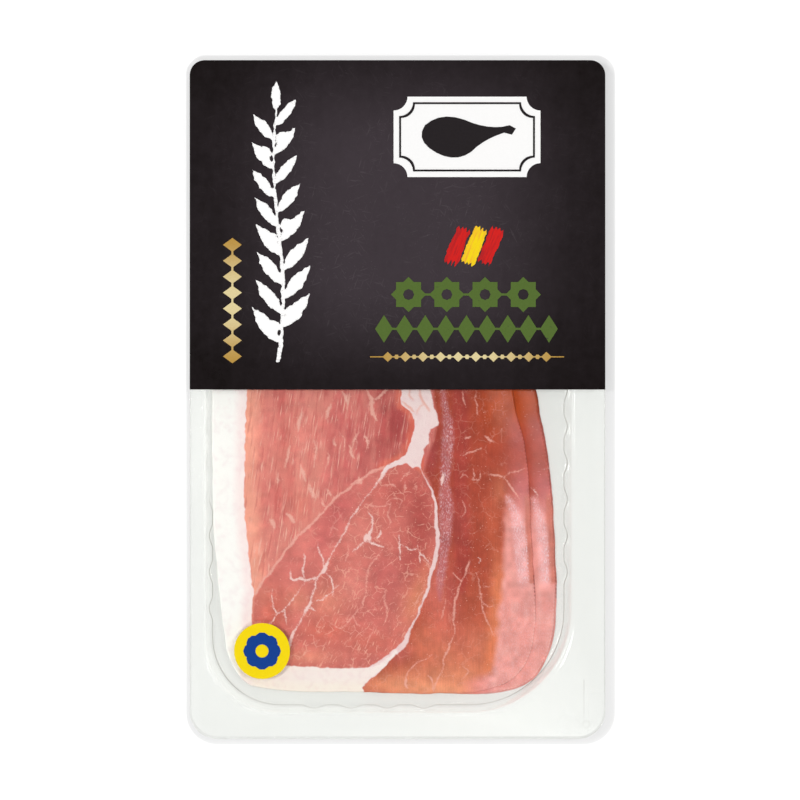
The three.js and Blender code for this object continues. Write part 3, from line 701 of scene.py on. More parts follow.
def ham_fields(x, y, edge, name):
    """Fat, seams, tones and the rest at points of a slice; edge is their distance in from its rim, in mm."""
    u, v = photo_pixels(x, y)
    u1, v1 = hand_cut(u, v)
    ground = lambda colour: np.tile(np.array(colour, float), (len(u), 1))
    rows = lambda key: smooth(*ROWS[key], v)
    columns = lambda key: smooth(*COLUMNS[key], u)

    # depths in the fat, the seams and the strands
    from_fat_rim = u1 - np.interp(v, *np.array(FAT_RIM_EDGE)[:, ::-1].T)
    strip, knot = depth_in(FAT_STRIP, u1, v1), depth_in(FAT_KNOT, u1, v1)
    seam = depth_in_strand(rounded_line(RIGHT_SEAM, 5), u1, v1)
    fat = np.maximum.reduce([-from_fat_rim, strip, knot, seam])
    seam_a = rounded_line([(*p, SEAM_A_WIDTH) for p in SEAM_A], 4)
    seam_b = rounded_line(np.column_stack([SEAM_B, SEAM_B_WIDTHS]), 4)
    white = np.maximum(depth_in_strand(seam_b, u1, v1), deepest(WHITE_STRANDS, u1, v1))
    pale = np.maximum(depth_in_strand(seam_a, u1, v1), deepest(PALE_STRANDS, u1, v1))

    cream = blend(ground(CREAM), FAT_BY_LEAN, 0.9 * smooth(15, 3, fat))
    cream = blend(cream, FAT_OF_STRIP, 0.95 * smooth(-3, 2, strip))
    cream = blend(cream, FAT_AT_END, rows("fat at end") * columns("fat at end"))
    cream = blend(cream, FAT_OF_KNOT, 0.95 * smooth(-2, 1, knot))
    cream = blend(cream, FAT_OF_SEAM, 0.95 * smooth(-2, 1, seam) * smooth(1, -1, np.maximum(knot, strip)))
    cream = blend(cream, KNOT_VEIN, 0.75 * smooth(-1, 1, deepest(KNOT_VEINS, u1, v1)))

    # the muscles, the left one first
    wedge, centre, right = (smooth(-MUSCLE_BORDER, MUSCLE_BORDER, depth_in(outline, u, v))
                            for outline in (WEDGE_MUSCLE, CENTRE_MUSCLE, RIGHT_MUSCLE))
    tone = paint(ground(CORAL), LEFT_PATCHES, u, v)
    tone = blend(tone, PEACH, 0.95 * (1 - smooth(3, 24, from_fat_rim + 3 * wander(u, v, 9, 21))))
    tone = blend(tone, SALMON, 0.85 * smooth(-9, -2, knot) * (1 - right) * (u < KNOT_END))
    tone = blend(tone, paint(ground(CORAL), WEDGE_PATCHES, u, v), wedge)
    tone = blend(tone, paint(ground(CENTRE_GROUND), CENTRE_PATCHES, u, v), centre)
    right_tone, slope, glint = right_muscle(name, u, v, u1, v1, edge / PIXEL)
    tone = blend(tone, right_tone, right)
    tone *= (1 + 0.04 * wander(u, v, 12, 31) + 0.04 * wander(u, v, 5, 32))[:, None] * LEAN_BALANCE

    fibre = (1 - wedge) * (1 - centre) * (1 - right) * (1 - 0.4 * columns("fibre fades"))
    marble = np.clip(1.0 * centre + 0.5 * wedge + 0.1 * fibre + 0.35 * right * (1 - slope), 0, 1)
    return {"tone": tones_under_film(tone), "cream": tones_under_film(cream), "fat": fat, "white": white,
            "pale": pale, "softer": deepest(SOFT_STRANDS, u1, v1), "fibre": fibre, "marble": marble,
            "slant": centre * rows("slanting strokes"), "glint": glint, "grain": right * (1 - slope)}


def ham_material():
    def build(tree):
        place = tree.place()
        fat, white, pale, softer = (tree.field(k) for k in ("fat", "white", "pale", "softer"))
        fibre, marble, slant = (tree.field(k) for k in ("fibre", "marble", "slant"))
        glint, grain = tree.field("glint"), tree.field("grain")

        def over(colour, share, drawn):
            return tree.mix(share, colour, seen_under_film(*drawn))

        colour = tree.tinted(tree.field("tone", out="Color"), tree.noise(place, 0.22, 3),
                             (0.88, 0.84, 0.84), (1.12, 1.16, 1.16))
        colour = tree.shaded(colour, tree.noise(place, 2.0, 3, 0.6), 0.1)
        # lean fibres: bright and dark streaks, a little off the pack's length
        gathered = tree.ease(0.36, 0.56, tree.noise(place, 0.14, 2))
        light = tree.ease(0.55, 0.7, tree.noise(tree.drawn_out(place, 9, 13), 1.5, 2, 0.55)) * gathered
        dark = tree.ease(0.46, 0.3, tree.noise(tree.drawn_out(place, 8, 10, 9), 0.9, 2, 0.5))
        wide = tree.ease(0.38, 0.62, tree.noise(tree.drawn_out(place, 5, 6, 4), 0.45, 2))
        colour = over(colour, 0.3 * wide * fibre, FIBRE_WIDE)
        colour = over(colour, 0.4 * dark * fibre, FIBRE_DARK)
        colour = over(colour, 0.75 * light * fibre, FIBRE_LIGHT)
        lines = tree.noise(tree.drawn_out(place, 0, 16, 2), 2.1, 2, 0.6)
        colour = tree.shaded(colour, lines * grain + 0.5 * (1 - grain), 0.16)
        # fine broken threads of fat between the fibres
        wobble = tree.vectors("SUBTRACT", tree.noise(place, 0.5, 3, out="Color"), (0.5, 0.5, 0.5))
        bent = tree.vectors("ADD", place, tree.vectors("SCALE", wobble, scale=1.5))
        kept = tree.ease(0.48, 0.6, tree.noise(place, 0.28, 2))
        threads = tree.ease(0.05, 0.01, tree.cracks(bent, 0.26)) * kept
        kept = tree.ease(0.5, 0.62, tree.noise(place, 0.42, 2))
        fine = tree.ease(0.09, 0.03, tree.cracks(bent, 0.62)) * kept
        colour = over(colour, 0.52 * threads * marble, THREAD)
        colour = over(colour, 0.28 * fine * marble, FINE_THREAD)
        strokes = tree.ease(0.6, 0.7, tree.noise(tree.drawn_out(place, 27, 6), 1.5, 2, 0.55))
        colour = over(colour, 0.6 * strokes * slant, STROKE)
        # named seams, from thin pale ones to white, and the fat itself
        ragged = tree.noise(place, 1.5, 3, 0.68) - 0.5
        colour = over(colour, 0.72 * tree.ease(-0.8, 0.8, pale + 2.6 * ragged), PALE_SEAM)
        colour = over(colour, 0.62 * tree.ease(-1.0, 1.1, softer + 4 * ragged), SOFT_SEAM)
        white_share = tree.ease(-0.7, 0.8, white + 3.2 * ragged - 0.1)
        colour = over(colour, 0.92 * white_share, WHITE_SEAM)
        fatness = tree.ease(-0.7, 0.8, fat + 1.1 * ragged)
        stains = tree.ease(0.45, 0.7, tree.noise(place, 0.45, 3))
        cream = tree.tinted(tree.field("cream", out="Color"), stains, (1.0, 1.0, 1.0), (0.97, 0.93, 0.945))
        colour = tree.mix(fatness, colour, cream)
        # painted glints: bright specks on the sloping margins and along the sheen ridge; and small pale beads
        # over the lean
        glint_specks = tree.ease(0.46, 0.68, tree.noise(tree.drawn_out(place, -3, 2.2), 2.8, 1)) * glint
        gathered = tree.ease(0.42, 0.58, tree.noise(place, 0.35, 2))
        beads = tree.dots(place, 0.62, 0.15) * gathered * (1 - fatness)
        colour = over(colour, 0.55 * glint_specks, GLINT_SPECK)
        colour = over(colour, 0.5 * beads, BEAD)
        relief = (0.06 * tree.noise(place, 1.6, 3) + 0.05 * light * fibre + 0.05 * fatness
                  + 0.04 * white_share + 0.05 * glint_specks + 0.04 * beads)
        roughness = 0.14 + 0.08 * tree.noise(place, 0.7, 2) + 0.06 * fatness
        return coated(tree, colour, roughness, tree.bump(relief, 0.8), IOR=1.16)
    return new_material("cured ham", build)


# ---------------------------------------------------------------- clear plastic

SHINE_HEAD_ON, SHINE_GAIN = 0.012, 0.98    # the share that a sheet reflects head on, and what edge on adds
MILK, DULL_PASS = (0.95, 0.96, 0.95), (0.6, 0.575, 0.545)
TRAY_TINT, FILM_TINT, FILM_HAZE = (0.985, 0.99, 0.98), (0.994, 0.996, 0.992), 0.004


def see_through(tree, tint, roughness, relief, haze, dull=None):
    """Thin clear sheet: it passes light straight on, shines by the angle of view, and is a little milky."""
    facing = tree.add("ShaderNodeLayerWeight", None, {"Blend": 0.5}, out="Facing")
    shine = SHINE_HEAD_ON + SHINE_GAIN * facing ** 5
    clear = tree.add("ShaderNodeBsdfTransparent", None, {"Color": tint})
    if dull is not None:
        grey = tree.add("ShaderNodeBsdfTransparent", None, {"Color": DULL_PASS})
        clear = tree.add("ShaderNodeMixShader", None, {0: dull, 1: clear, 2: grey})
    milk = tree.add("ShaderNodeBsdfDiffuse", None, {"Color": MILK})
    body = tree.add("ShaderNodeMixShader", None, {0: haze, 1: clear, 2: milk})
    gloss = tree.add("ShaderNodeBsdfGlossy", None,
                     {"Color": (1, 1, 1), "Roughness": roughness, "Normal": tree.bump(relief)})
    return tree.add("ShaderNodeMixShader", None, {0: shine, 1: body, 2: gloss})


# marks pressed into the flange at its near right corner
PEEL = {"line": 67.3, "line start": -101.3, "line end": -115, "line half-width": 0.4,
        "lobe": (61.9, -117.9), "lobe radius": 5.4, "dimple": (68.2, -117.3), "dimple radius": 1.26}
# where a look of the tray comes in, from the first number to the second, in mm across or along
TRAY_COLUMNS = {"knurled": (-69.5, -70.5), "corner": (67.8, 69), "left shoulder": (-62, -67)}
TRAY_ROWS = {"knurled": (-66, 0), "corner": (-104, -107), "near shoulder": (-103, -109),
             "near end": (-105, -108), "left wall": (-44, -32)}
LEFT_WALL = -60
KNURL = 0.75    # from one knurled diamond to the next


def tray_material():
    def build(tree):
        place = tree.place()
        x, y, z = tree.split(place)
        across = lambda key: tree.ease(*TRAY_COLUMNS[key], x)
        along = lambda key: tree.ease(*TRAY_ROWS[key], y)
        distance = lambda point: ((x - point[0]) ** 2 + (y - point[1]) ** 2) ** 0.5
        flange = z > TRAY_HEIGHT - 0.3
        wave = lambda run: tree.maths("SINE", run * (math.pi / KNURL))
        diamonds = wave(x + y) * wave(x - y)
        knurled = flange * across("knurled") * along("knurled")
        relief = 0.05 * diamonds * knurled + 0.03 * tree.noise(place, 0.15, 2)

        line = tree.ease(PEEL["line half-width"], 0.1, tree.maths("ABSOLUTE", x - PEEL["line"]))
        line = line * (y < PEEL["line start"]) * (y > PEEL["line end"])
        off_dimple = tree.maths("ABSOLUTE", distance(PEEL["dimple"]) - PEEL["dimple radius"])
        dimple = tree.ease(PEEL["line half-width"], 0.15, off_dimple)
        lobe = tree.ease(PEEL["lobe radius"], 0.5 * PEEL["lobe radius"], distance(PEEL["lobe"]))
        dull = (tree.field("dull") + 0.22 * tree.maths("MAXIMUM", diamonds, 0.0) * knurled
                + flange * (0.25 * line + 0.25 * dimple))
        # no grey line shows on the left wall's far part, and a fainter one at the near end
        hidden = (x < LEFT_WALL) * along("left wall") * (1 - flange)
        dull = dull * (1 - hidden) * (1 - 0.45 * along("near end")) + 0.05 * (z < SHEET + 0.6)
        # painted highlight: white haze along the shoulders of the mouth's left and near sides, and more haze
        # over the peel lobe and the flange's near right corner
        near_side = tree.maths("MAXIMUM", across("left shoulder"), along("near shoulder"))
        bright = tree.maths("MAXIMUM", lobe, across("corner") * along("corner"))
        haze = 0.06 + 0.03 * flange + 0.12 * tree.field("shoulder") * near_side + 0.07 * bright * flange
        return see_through(tree, TRAY_TINT, 0.08 + 0.05 * tree.noise(place, 0.5, 2), relief, haze, dull)
    return new_material("clear tray sheet", build)


def film_material():
    def build(tree):
        place = tree.place()
        relief = 0.06 * tree.noise(place, 0.05, 2) + 0.004 * tree.noise(place, 0.6, 2)
        return see_through(tree, FILM_TINT, 0.06 + 0.05 * tree.noise(place, 0.3, 2), relief, FILM_HAZE)
    return new_material("clear lidding film", build)


# ---------------------------------------------------------------- inks

INK_IOR = 1.35

SLATE_DARK, SLATE_LIGHT, SLATE_WEAR = (25, 20, 20), (66, 58, 63), (128, 120, 124)
SLATE_MIDDLE, SLATE_HALF = (0.9, 66.6), (74, 59.6)    # the printed field, in mm
SCRATCHES = [(18, 3), (-35, 17), (70, 31), (-80, 47)]    # lean in degrees, shift of the pattern


def slate_material():
    def build(tree):
        place = tree.place()
        x, y, z = tree.split(place)
        across = tree.ease(0.2, 1.0, tree.maths("ABSOLUTE", x - SLATE_MIDDLE[0]) / SLATE_HALF[0])
        along = tree.ease(0.35, 1.1, tree.maths("ABSOLUTE", y - SLATE_MIDDLE[1]) / SLATE_HALF[1])
        lit = (1 - 0.84 * across) * (1 - 0.84 * along)
        clouds = tree.noise(place, 0.05, 4, 0.6)
        mottle = tree.noise(place, 0.35, 4, 0.65)
        upright = tree.noise(tree.drawn_out(place, 3, 5), 0.35, 3, 0.6)
        level = 1.0 * lit + 0.22 * (clouds - 0.5) + 0.2 * (mottle - 0.5) + 0.16 * (upright - 0.5)
        ground = tree.mix(tree.maths("MAXIMUM", level, 0.0), seen(*SLATE_DARK), seen(*SLATE_LIGHT))
        scratches = 0.0
        for lean, shift in SCRATCHES:
            streak = tree.ease(0.67, 0.76, tree.noise(tree.drawn_out(place, lean, 9, shift), 1.5, 1))
            scratches = tree.maths("MAXIMUM", scratches, streak)
        dust = tree.dots(place, 0.5, 0.12) + tree.ease(0.68, 0.76, tree.noise(place, 1.7, 1))
        wear = (0.55 * scratches + 0.6 * dust) * lit * tree.ease(0.35, 0.6, clouds)
        colour = tree.mix(0.2 * wear, ground, seen(*SLATE_WEAR))
        return coated(tree, colour, 0.08 + 0.05 * mottle, tree.bump(0.002 * mottle), IOR=INK_IOR)
    return new_material("slate print", build)


def ink_material(name, colour, worn, wear=0.0, grain=0.08):
    """A flat ink with a fine grain and small worn spots that show the print beneath."""
    def build(tree):
        place = tree.place()
        fine = tree.noise(place, 1.4, 2)
        shade = tree.shaded(seen(*colour), fine, grain)
        spots = tree.ease(0.66, 0.72, tree.noise(place, 0.9, 3, 0.65))
        shade = tree.mix(wear * spots * tree.ease(0.5, 0.62, tree.noise(place, 0.16, 1)), shade, seen(*worn))
        return coated(tree, shade, 0.13 + 0.05 * fine, tree.bump(0.004 * fine), IOR=INK_IOR)
    return new_material(name, build)


GOLD_PALE, GOLD_DEEP = (231, 214, 160), (190, 148, 66)
RULE_MIDDLE, RULE_HALF = 25, 35        # the gold rule, in mm across
CHAIN_MIDDLE, CHAIN_HALF = 35.7, 23    # the gold chain, in mm along
RULE_START = -30                       # the rule lies to the right of this, and the chain to the left


def gold_material():
    """Gold ink: pale at the middle of its run and deeper towards the ends."""
    def build(tree):
        place = tree.place()
        x, y, z = tree.split(place)
        across = tree.maths("ABSOLUTE", x - RULE_MIDDLE) / RULE_HALF
        along = tree.maths("ABSOLUTE", y - CHAIN_MIDDLE) / CHAIN_HALF
        on_rule = x > RULE_START
        run = on_rule * across + (1 - on_rule) * along
        colour = tree.mix(tree.ease(0.1, 1.0, run), seen(*GOLD_PALE), seen(*GOLD_DEEP))
        fine = tree.noise(place, 1.8, 2)
        colour = tree.shaded(colour, fine, 0.1)
        return coated(tree, colour, 0.16 + 0.08 * fine, tree.bump(0.005 * fine), IOR=INK_IOR)
    return new_material("gold ink", build)


CHALK, CHALK_GREY, CHALK_CRUMB = (264, 263, 262), (222, 216, 216), (120, 112, 114)


def chalk_material():
    """Chalk white: solid inside, and grainy where a stroke ends."""
    def build(tree):
        place = tree.place()
        grain = tree.noise(place, 2.2, 2)
        crumbs = tree.ease(0.6, 0.25, tree.field("edge")) * tree.ease(0.5, 0.7, grain)
        colour = tree.mix(0.5 * crumbs, seen(*CHALK), seen(*CHALK_CRUMB))
        colour = tree.mix(0.08 * grain, colour, seen(*CHALK_GREY))
        return coated(tree, colour, 0.3, tree.bump(0.01 * grain), IOR=1.3)
    return new_material("chalk print", build)


def brush_material(name, light, dark, lean):
    """Dry-brush ink with streaks along the stroke."""
    def build(tree):
        place = tree.place()
        streaks = tree.noise(tree.drawn_out(place, lean, 11), 1.3, 3, 0.6)
        colour = tree.mix(tree.ease(0.42, 0.62, streaks), seen(*light), seen(*dark))
        return coated(tree, colour, 0.16 + 0.08 * streaks, tree.bump(0.01 * streaks), IOR=INK_IOR)
    return new_material(name, build)


# ---------------------------------------------------------------- meshes


def linked(name, mesh):
    thing = bpy.data.objects.new(name, mesh)
    bpy.context.scene.collection.objects.link(thing)
    return thing


def carried(thing, replaced, slot):
    """Rides on the pack, in the place of a CAD node; slot is not used."""
    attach(thing, "root")
    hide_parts(replaced)
    return thing


def piece(name, points, faces, material, replaced, slot, fields=None):
    """A finished mesh from points in mm. fields are numbers or colours at its points, by name."""
    mesh = bpy.data.meshes.new(name)
    mesh.from_pydata((np.asarray(points, float) * MM).tolist(), [], faces)
    mesh.polygons.foreach_set("use_smooth", [True] * len(mesh.polygons))
    for field, values in (fields or {}).items():
        wide = values.ndim == 2
        attribute = mesh.attributes.new(field, "FLOAT_COLOR" if wide else "FLOAT", "POINT")
        attribute.data.foreach_set("color" if wide else "value", values.astype(np.float32).ravel())
    mesh.materials.append(material)
    mesh.update()
    return carried(linked(name, mesh), replaced, slot)


def outline_depth(ring, points):
    """How deep points lie inside a closed ring, negative outside it."""
    return depth_in([tuple(p) for p in ring], points[:, 0], points[:, 1])


def triangles_over(ring, inner):
    """Triangles, facing up, over a closed ring and the loose points in it, numbered with the ring first."""
    points = np.vstack([ring, inner]) if len(inner) else ring
    found = delaunay_2d_cdt([Vector(p) for p in points.tolist()], [], [list(range(len(ring)))], 1, 1e-7)
    was = [source[0] for source in found[3]]
    faces = []
    for a, b, c in found[2]:
        a, b, c = was[a], was[b], was[c]
        p, q, r = points[a], points[b], points[c]
        turn = (q[0] - p[0]) * (r[1] - p[1]) - (q[1] - p[1]) * (r[0] - p[0])
        faces.append((a, b, c) if turn > 0 else (a, c, b))
    return faces


def closed_sheet(walls, inner_top, inner_bottom):
    """Points and faces of a sheet: walls are rings from the bottom one up, inner points fill both sides."""
    count = len(walls[0])
    points = [p for ring in walls for p in ring] + list(inner_top) + list(inner_bottom)
    faces = []
    for r in range(len(walls) - 1):
        for i in range(count):
            a, b = r * count + i, r * count + (i + 1) % count
            faces.append((a, b, b + count, a + count))
    last, tops = (len(walls) - 1) * count, len(walls) * count
    bottoms = tops + len(inner_top)
    number = lambda k, first, loose: first + k if k < count else loose + k - count
    for face in triangles_over(walls[-1][:, :2], inner_top[:, :2]):
        faces.append(tuple(number(k, last, tops) for k in face))
    for face in triangles_over(walls[0][:, :2], inner_bottom[:, :2]):
        faces.append(tuple(number(k, 0, bottoms) for k in face[::-1]))
    return np.array(points), faces


def grid_points(x0, x1, y0, y1, step):
    x, y = np.meshgrid(np.arange(x0, x1, step), np.arange(y0, y1, step))
    return np.stack([x.ravel(), y.ravel()], 1)


# ---------------------------------------------------------------- ham slices

WINDOW_TOP = PANEL_EDGE + 2.5    # the slices are fine up to here, a little under the print
CUT_SPACING = 0.7
EDGE_ROUND = 0.5
FINE_GRID = {"slice_top": 0.42, "slice_middle": 0.9, "slice_bottom": 1.2}
UNDER_GRID = {"slice_top": 4, "slice_middle": 4, "slice_bottom": 2.0}
COVERED_GRID, HIDDEN_GRID = 2.4, 3
COVERED_TO = 30                  # the slice above covers the lower slices to the left of this
SLICE_REACH = {"left": -70, "right": 60, "near": -108, "far": 106}
# rings of the cut edge: share of the slice's height, inset
CUT_EDGE = [(0, EDGE_ROUND), (0.14, 0.16), (0.45, 0), (0.75, 0.05), (0.93, 0.2), (1, EDGE_ROUND)]
RIPPLE = {"height": 0.3, "across": 64, "along": 92}
NEAR_DROP, NEAR_DROP_ROWS = 0.35, (-66, -85)    # the top slice's margin drops more at its near end


def slice_outline(name):
    left = [(x + LEFT_INSET[name], y) for x, y in FAT_SIDE]
    line = rounded_line(NEAR_END + RIGHT_SIDE[name] + FAR_END + left, 24, closed=True)
    ring = even_spacing(line, CUT_SPACING)
    uneven = 0.16 * wander(ring[:, 0], ring[:, 1], 5, 5) + 0.08 * wander(ring[:, 0], ring[:, 1], 1.7, 6) - 0.1
    return ring + outward(ring) * uneven[:, None]


def rim_of(ring, x, y):
    """The distance in from a ring, and the ring's outward direction there."""
    normal = outward(ring)
    edge, facing = np.full(len(x), np.inf), np.zeros(len(x))
    for k, (px, py) in enumerate(ring[::2]):
        d = np.hypot(x - px, y - py)
        closer = d < edge
        edge = np.where(closer, d, edge)
        facing = np.where(closer, normal[2 * k, 0], facing)
    return edge, facing


def ham_top(name, x, y, edge, facing):
    """Height of a slice's upper side above its own underside."""
    along = 2 * np.pi * y / RIPPLE["along"]
    ripple = drop = 0
    if name == "slice_top":
        wave = np.sin(2 * np.pi * x / RIPPLE["across"] + 2 * along) * np.cos(along)
        ripple = RIPPLE["height"] * (0.5 + 0.5 * wave)
        drop = NEAR_DROP * smooth(*NEAR_DROP_ROWS, y)
    share = 1 - np.clip(edge / MARGIN_WIDTH[name], 0, 1)
    slope = 0.35 * share**2 + 0.65 * share**1.15
    return SLICE + ripple - (MARGIN_DROP[name] + drop) * np.clip(facing, 0, 1) * slope


def slice_grid(step, left=SLICE_REACH["left"], right=SLICE_REACH["right"], near=SLICE_REACH["near"],
               far=SLICE_REACH["far"]):
    return grid_points(left, right, near, far, step)


def ham_slice(name, material):
    outline = slice_outline(name)
    normal = outward(outline)
    base = SLICE_BASE[name]
    # inner points: fine where the film shows the slice, coarse under the print
    seen_part = slice_grid(FINE_GRID[name], far=WINDOW_TOP)
    if name != "slice_top":
        seen_part = np.vstack([seen_part[seen_part[:, 0] > COVERED_TO],
                               slice_grid(COVERED_GRID, right=COVERED_TO, far=WINDOW_TOP)])
    loose = np.vstack([seen_part, slice_grid(HIDDEN_GRID, near=WINDOW_TOP)])
    loose = loose[outline_depth(outline[::3], loose) > EDGE_ROUND + 0.35]
    under = slice_grid(UNDER_GRID[name])
    under = under[outline_depth(outline[::3], under) > EDGE_ROUND + 0.6]

    def height(xy):
        return ham_top(name, xy[:, 0], xy[:, 1], *rim_of(outline, xy[:, 0], xy[:, 1]))

    crown = height(outline - normal * EDGE_ROUND)
    walls = [np.column_stack([outline - normal * inset, base + crown * share]) for share, inset in CUT_EDGE]
    top = np.column_stack([loose, base + height(loose)])
    bottom = np.column_stack([under, np.full(len(under), base)])
    points, faces = closed_sheet(walls, top, bottom)
    edge, _ = rim_of(outline, points[:, 0], points[:, 1])
    fields = ham_fields(points[:, 0], points[:, 1], edge, name)
    return piece(name + "_ham", points, faces, material, name, "ham", fields)


# ---------------------------------------------------------------- tray, swept by geometry nodes

AROUND = {"short": 84, "corner": 18, "long": 176}
SECTION_FIELDS = ("flute", "middle", "dull", "shoulder")
EDGE_BEVEL, EDGE_DULL, BEVEL_DULL = 0.08, 0.17, 0.1    # the flange's cut edge, and how grey it looks


def tray_profile():
    """The tray's section from the underside's middle, out under the flange and back to the floor's middle.
    Each point is (inset from the mouth, share of the way to the pack's edge, height, flute, share of the
    way to the middle, dull, shoulder)."""
    floor = WALL_LEAN + HEEL_INSET
    quarter = [i / 4 for i in range(5)]
    section = []

    def row(inset, height, share=0.0, flute=0.0, middle=0.0, dull=0.0, shoulder=0.0):
        section.append((inset, share, height, flute, middle, dull, shoulder))

    def wall(lower, upper, shares):
        for t in shares:
            row(lower[0] + t * (upper[0] - lower[0]), lower[1] + t * (upper[1] - lower[1]), flute=1 - t)

    # under the floor, round the outside of the heel and up the outside of the wall
    row(floor, 0, flute=1, middle=1)
    row(floor, 0, flute=1, middle=0.5)
    row(floor + 0.6, 0, flute=1)
    row(floor, 0, flute=1)
    heel_low, heel_high = floor - 0.25, WALL_LEAN - SHEET
    for t in quarter[1:]:
        angle = t * math.pi / 2
        row(heel_high + (heel_low - heel_high) * (1 - math.sin(angle)), HEEL_HEIGHT * (1 - math.cos(angle)),
            flute=1)
    under_flange = TRAY_HEIGHT - SHEET
    wall((heel_high, HEEL_HEIGHT), (0.35 - SHEET, under_flange - 0.6), (0.15, 0.32, 0.5, 0.68, 0.84, 0.95))
    row(-SHEET + 0.1, under_flange - 0.35)
    # out under the flange, round its edge and back over it
    row(-SHEET - 0.3, under_flange)
    for share in (0.12, 0.4, 0.7, 0.97):
        row(-SHEET, under_flange, share)
    edge_top = TRAY_HEIGHT - 0.02
    row(-SHEET, under_flange, 0.985, dull=BEVEL_DULL)
    row(0, under_flange + EDGE_BEVEL, 1, dull=EDGE_DULL)
    row(0, edge_top - EDGE_BEVEL, 1, dull=EDGE_DULL)
    row(0, edge_top, 0.985, dull=BEVEL_DULL)
    for share in (0.97, 0.85, 0.7, 0.55, 0.4, 0.25, 0.14):
        row(0, edge_top, share)
    # over the shoulder, whose rows carry the share of the painted highlight, and down the inside of the wall
    for t, lit in zip(quarter, (0.6, 1, 1, 0.5, 0)):
        angle = t * math.pi / 2
        row(-0.75 + 1.0 * math.sin(angle), edge_top - 0.9 * (1 - math.cos(angle)), shoulder=lit)
    heel_top = SHEET + HEEL_HEIGHT
    wall((WALL_LEAN, heel_top), (0.25, edge_top - 0.9), (0.84, 0.68, 0.5, 0.32, 0.16))
    # the thin grey line along the heel, then the heel itself and the floor
    row(WALL_LEAN - 0.16, heel_top + 0.4, flute=1)
    row(WALL_LEAN - 0.11, heel_top + 0.27, flute=1, dull=1)
    row(WALL_LEAN + 0.1, heel_top - 0.15, flute=1, dull=1)
    for t in (0.25, 0.4, 0.6, 0.8, 1):
        angle = t * math.pi / 2
        row(WALL_LEAN + HEEL_INSET * math.sin(angle) ** 2,
            SHEET + HEEL_HEIGHT * (1 - math.sin(angle)) ** 1.4, flute=1)
    row(floor + 0.7, SHEET, flute=1)
    row(floor, SHEET, flute=1, middle=0.5)
    row(floor, SHEET, flute=1, middle=1)
    return section


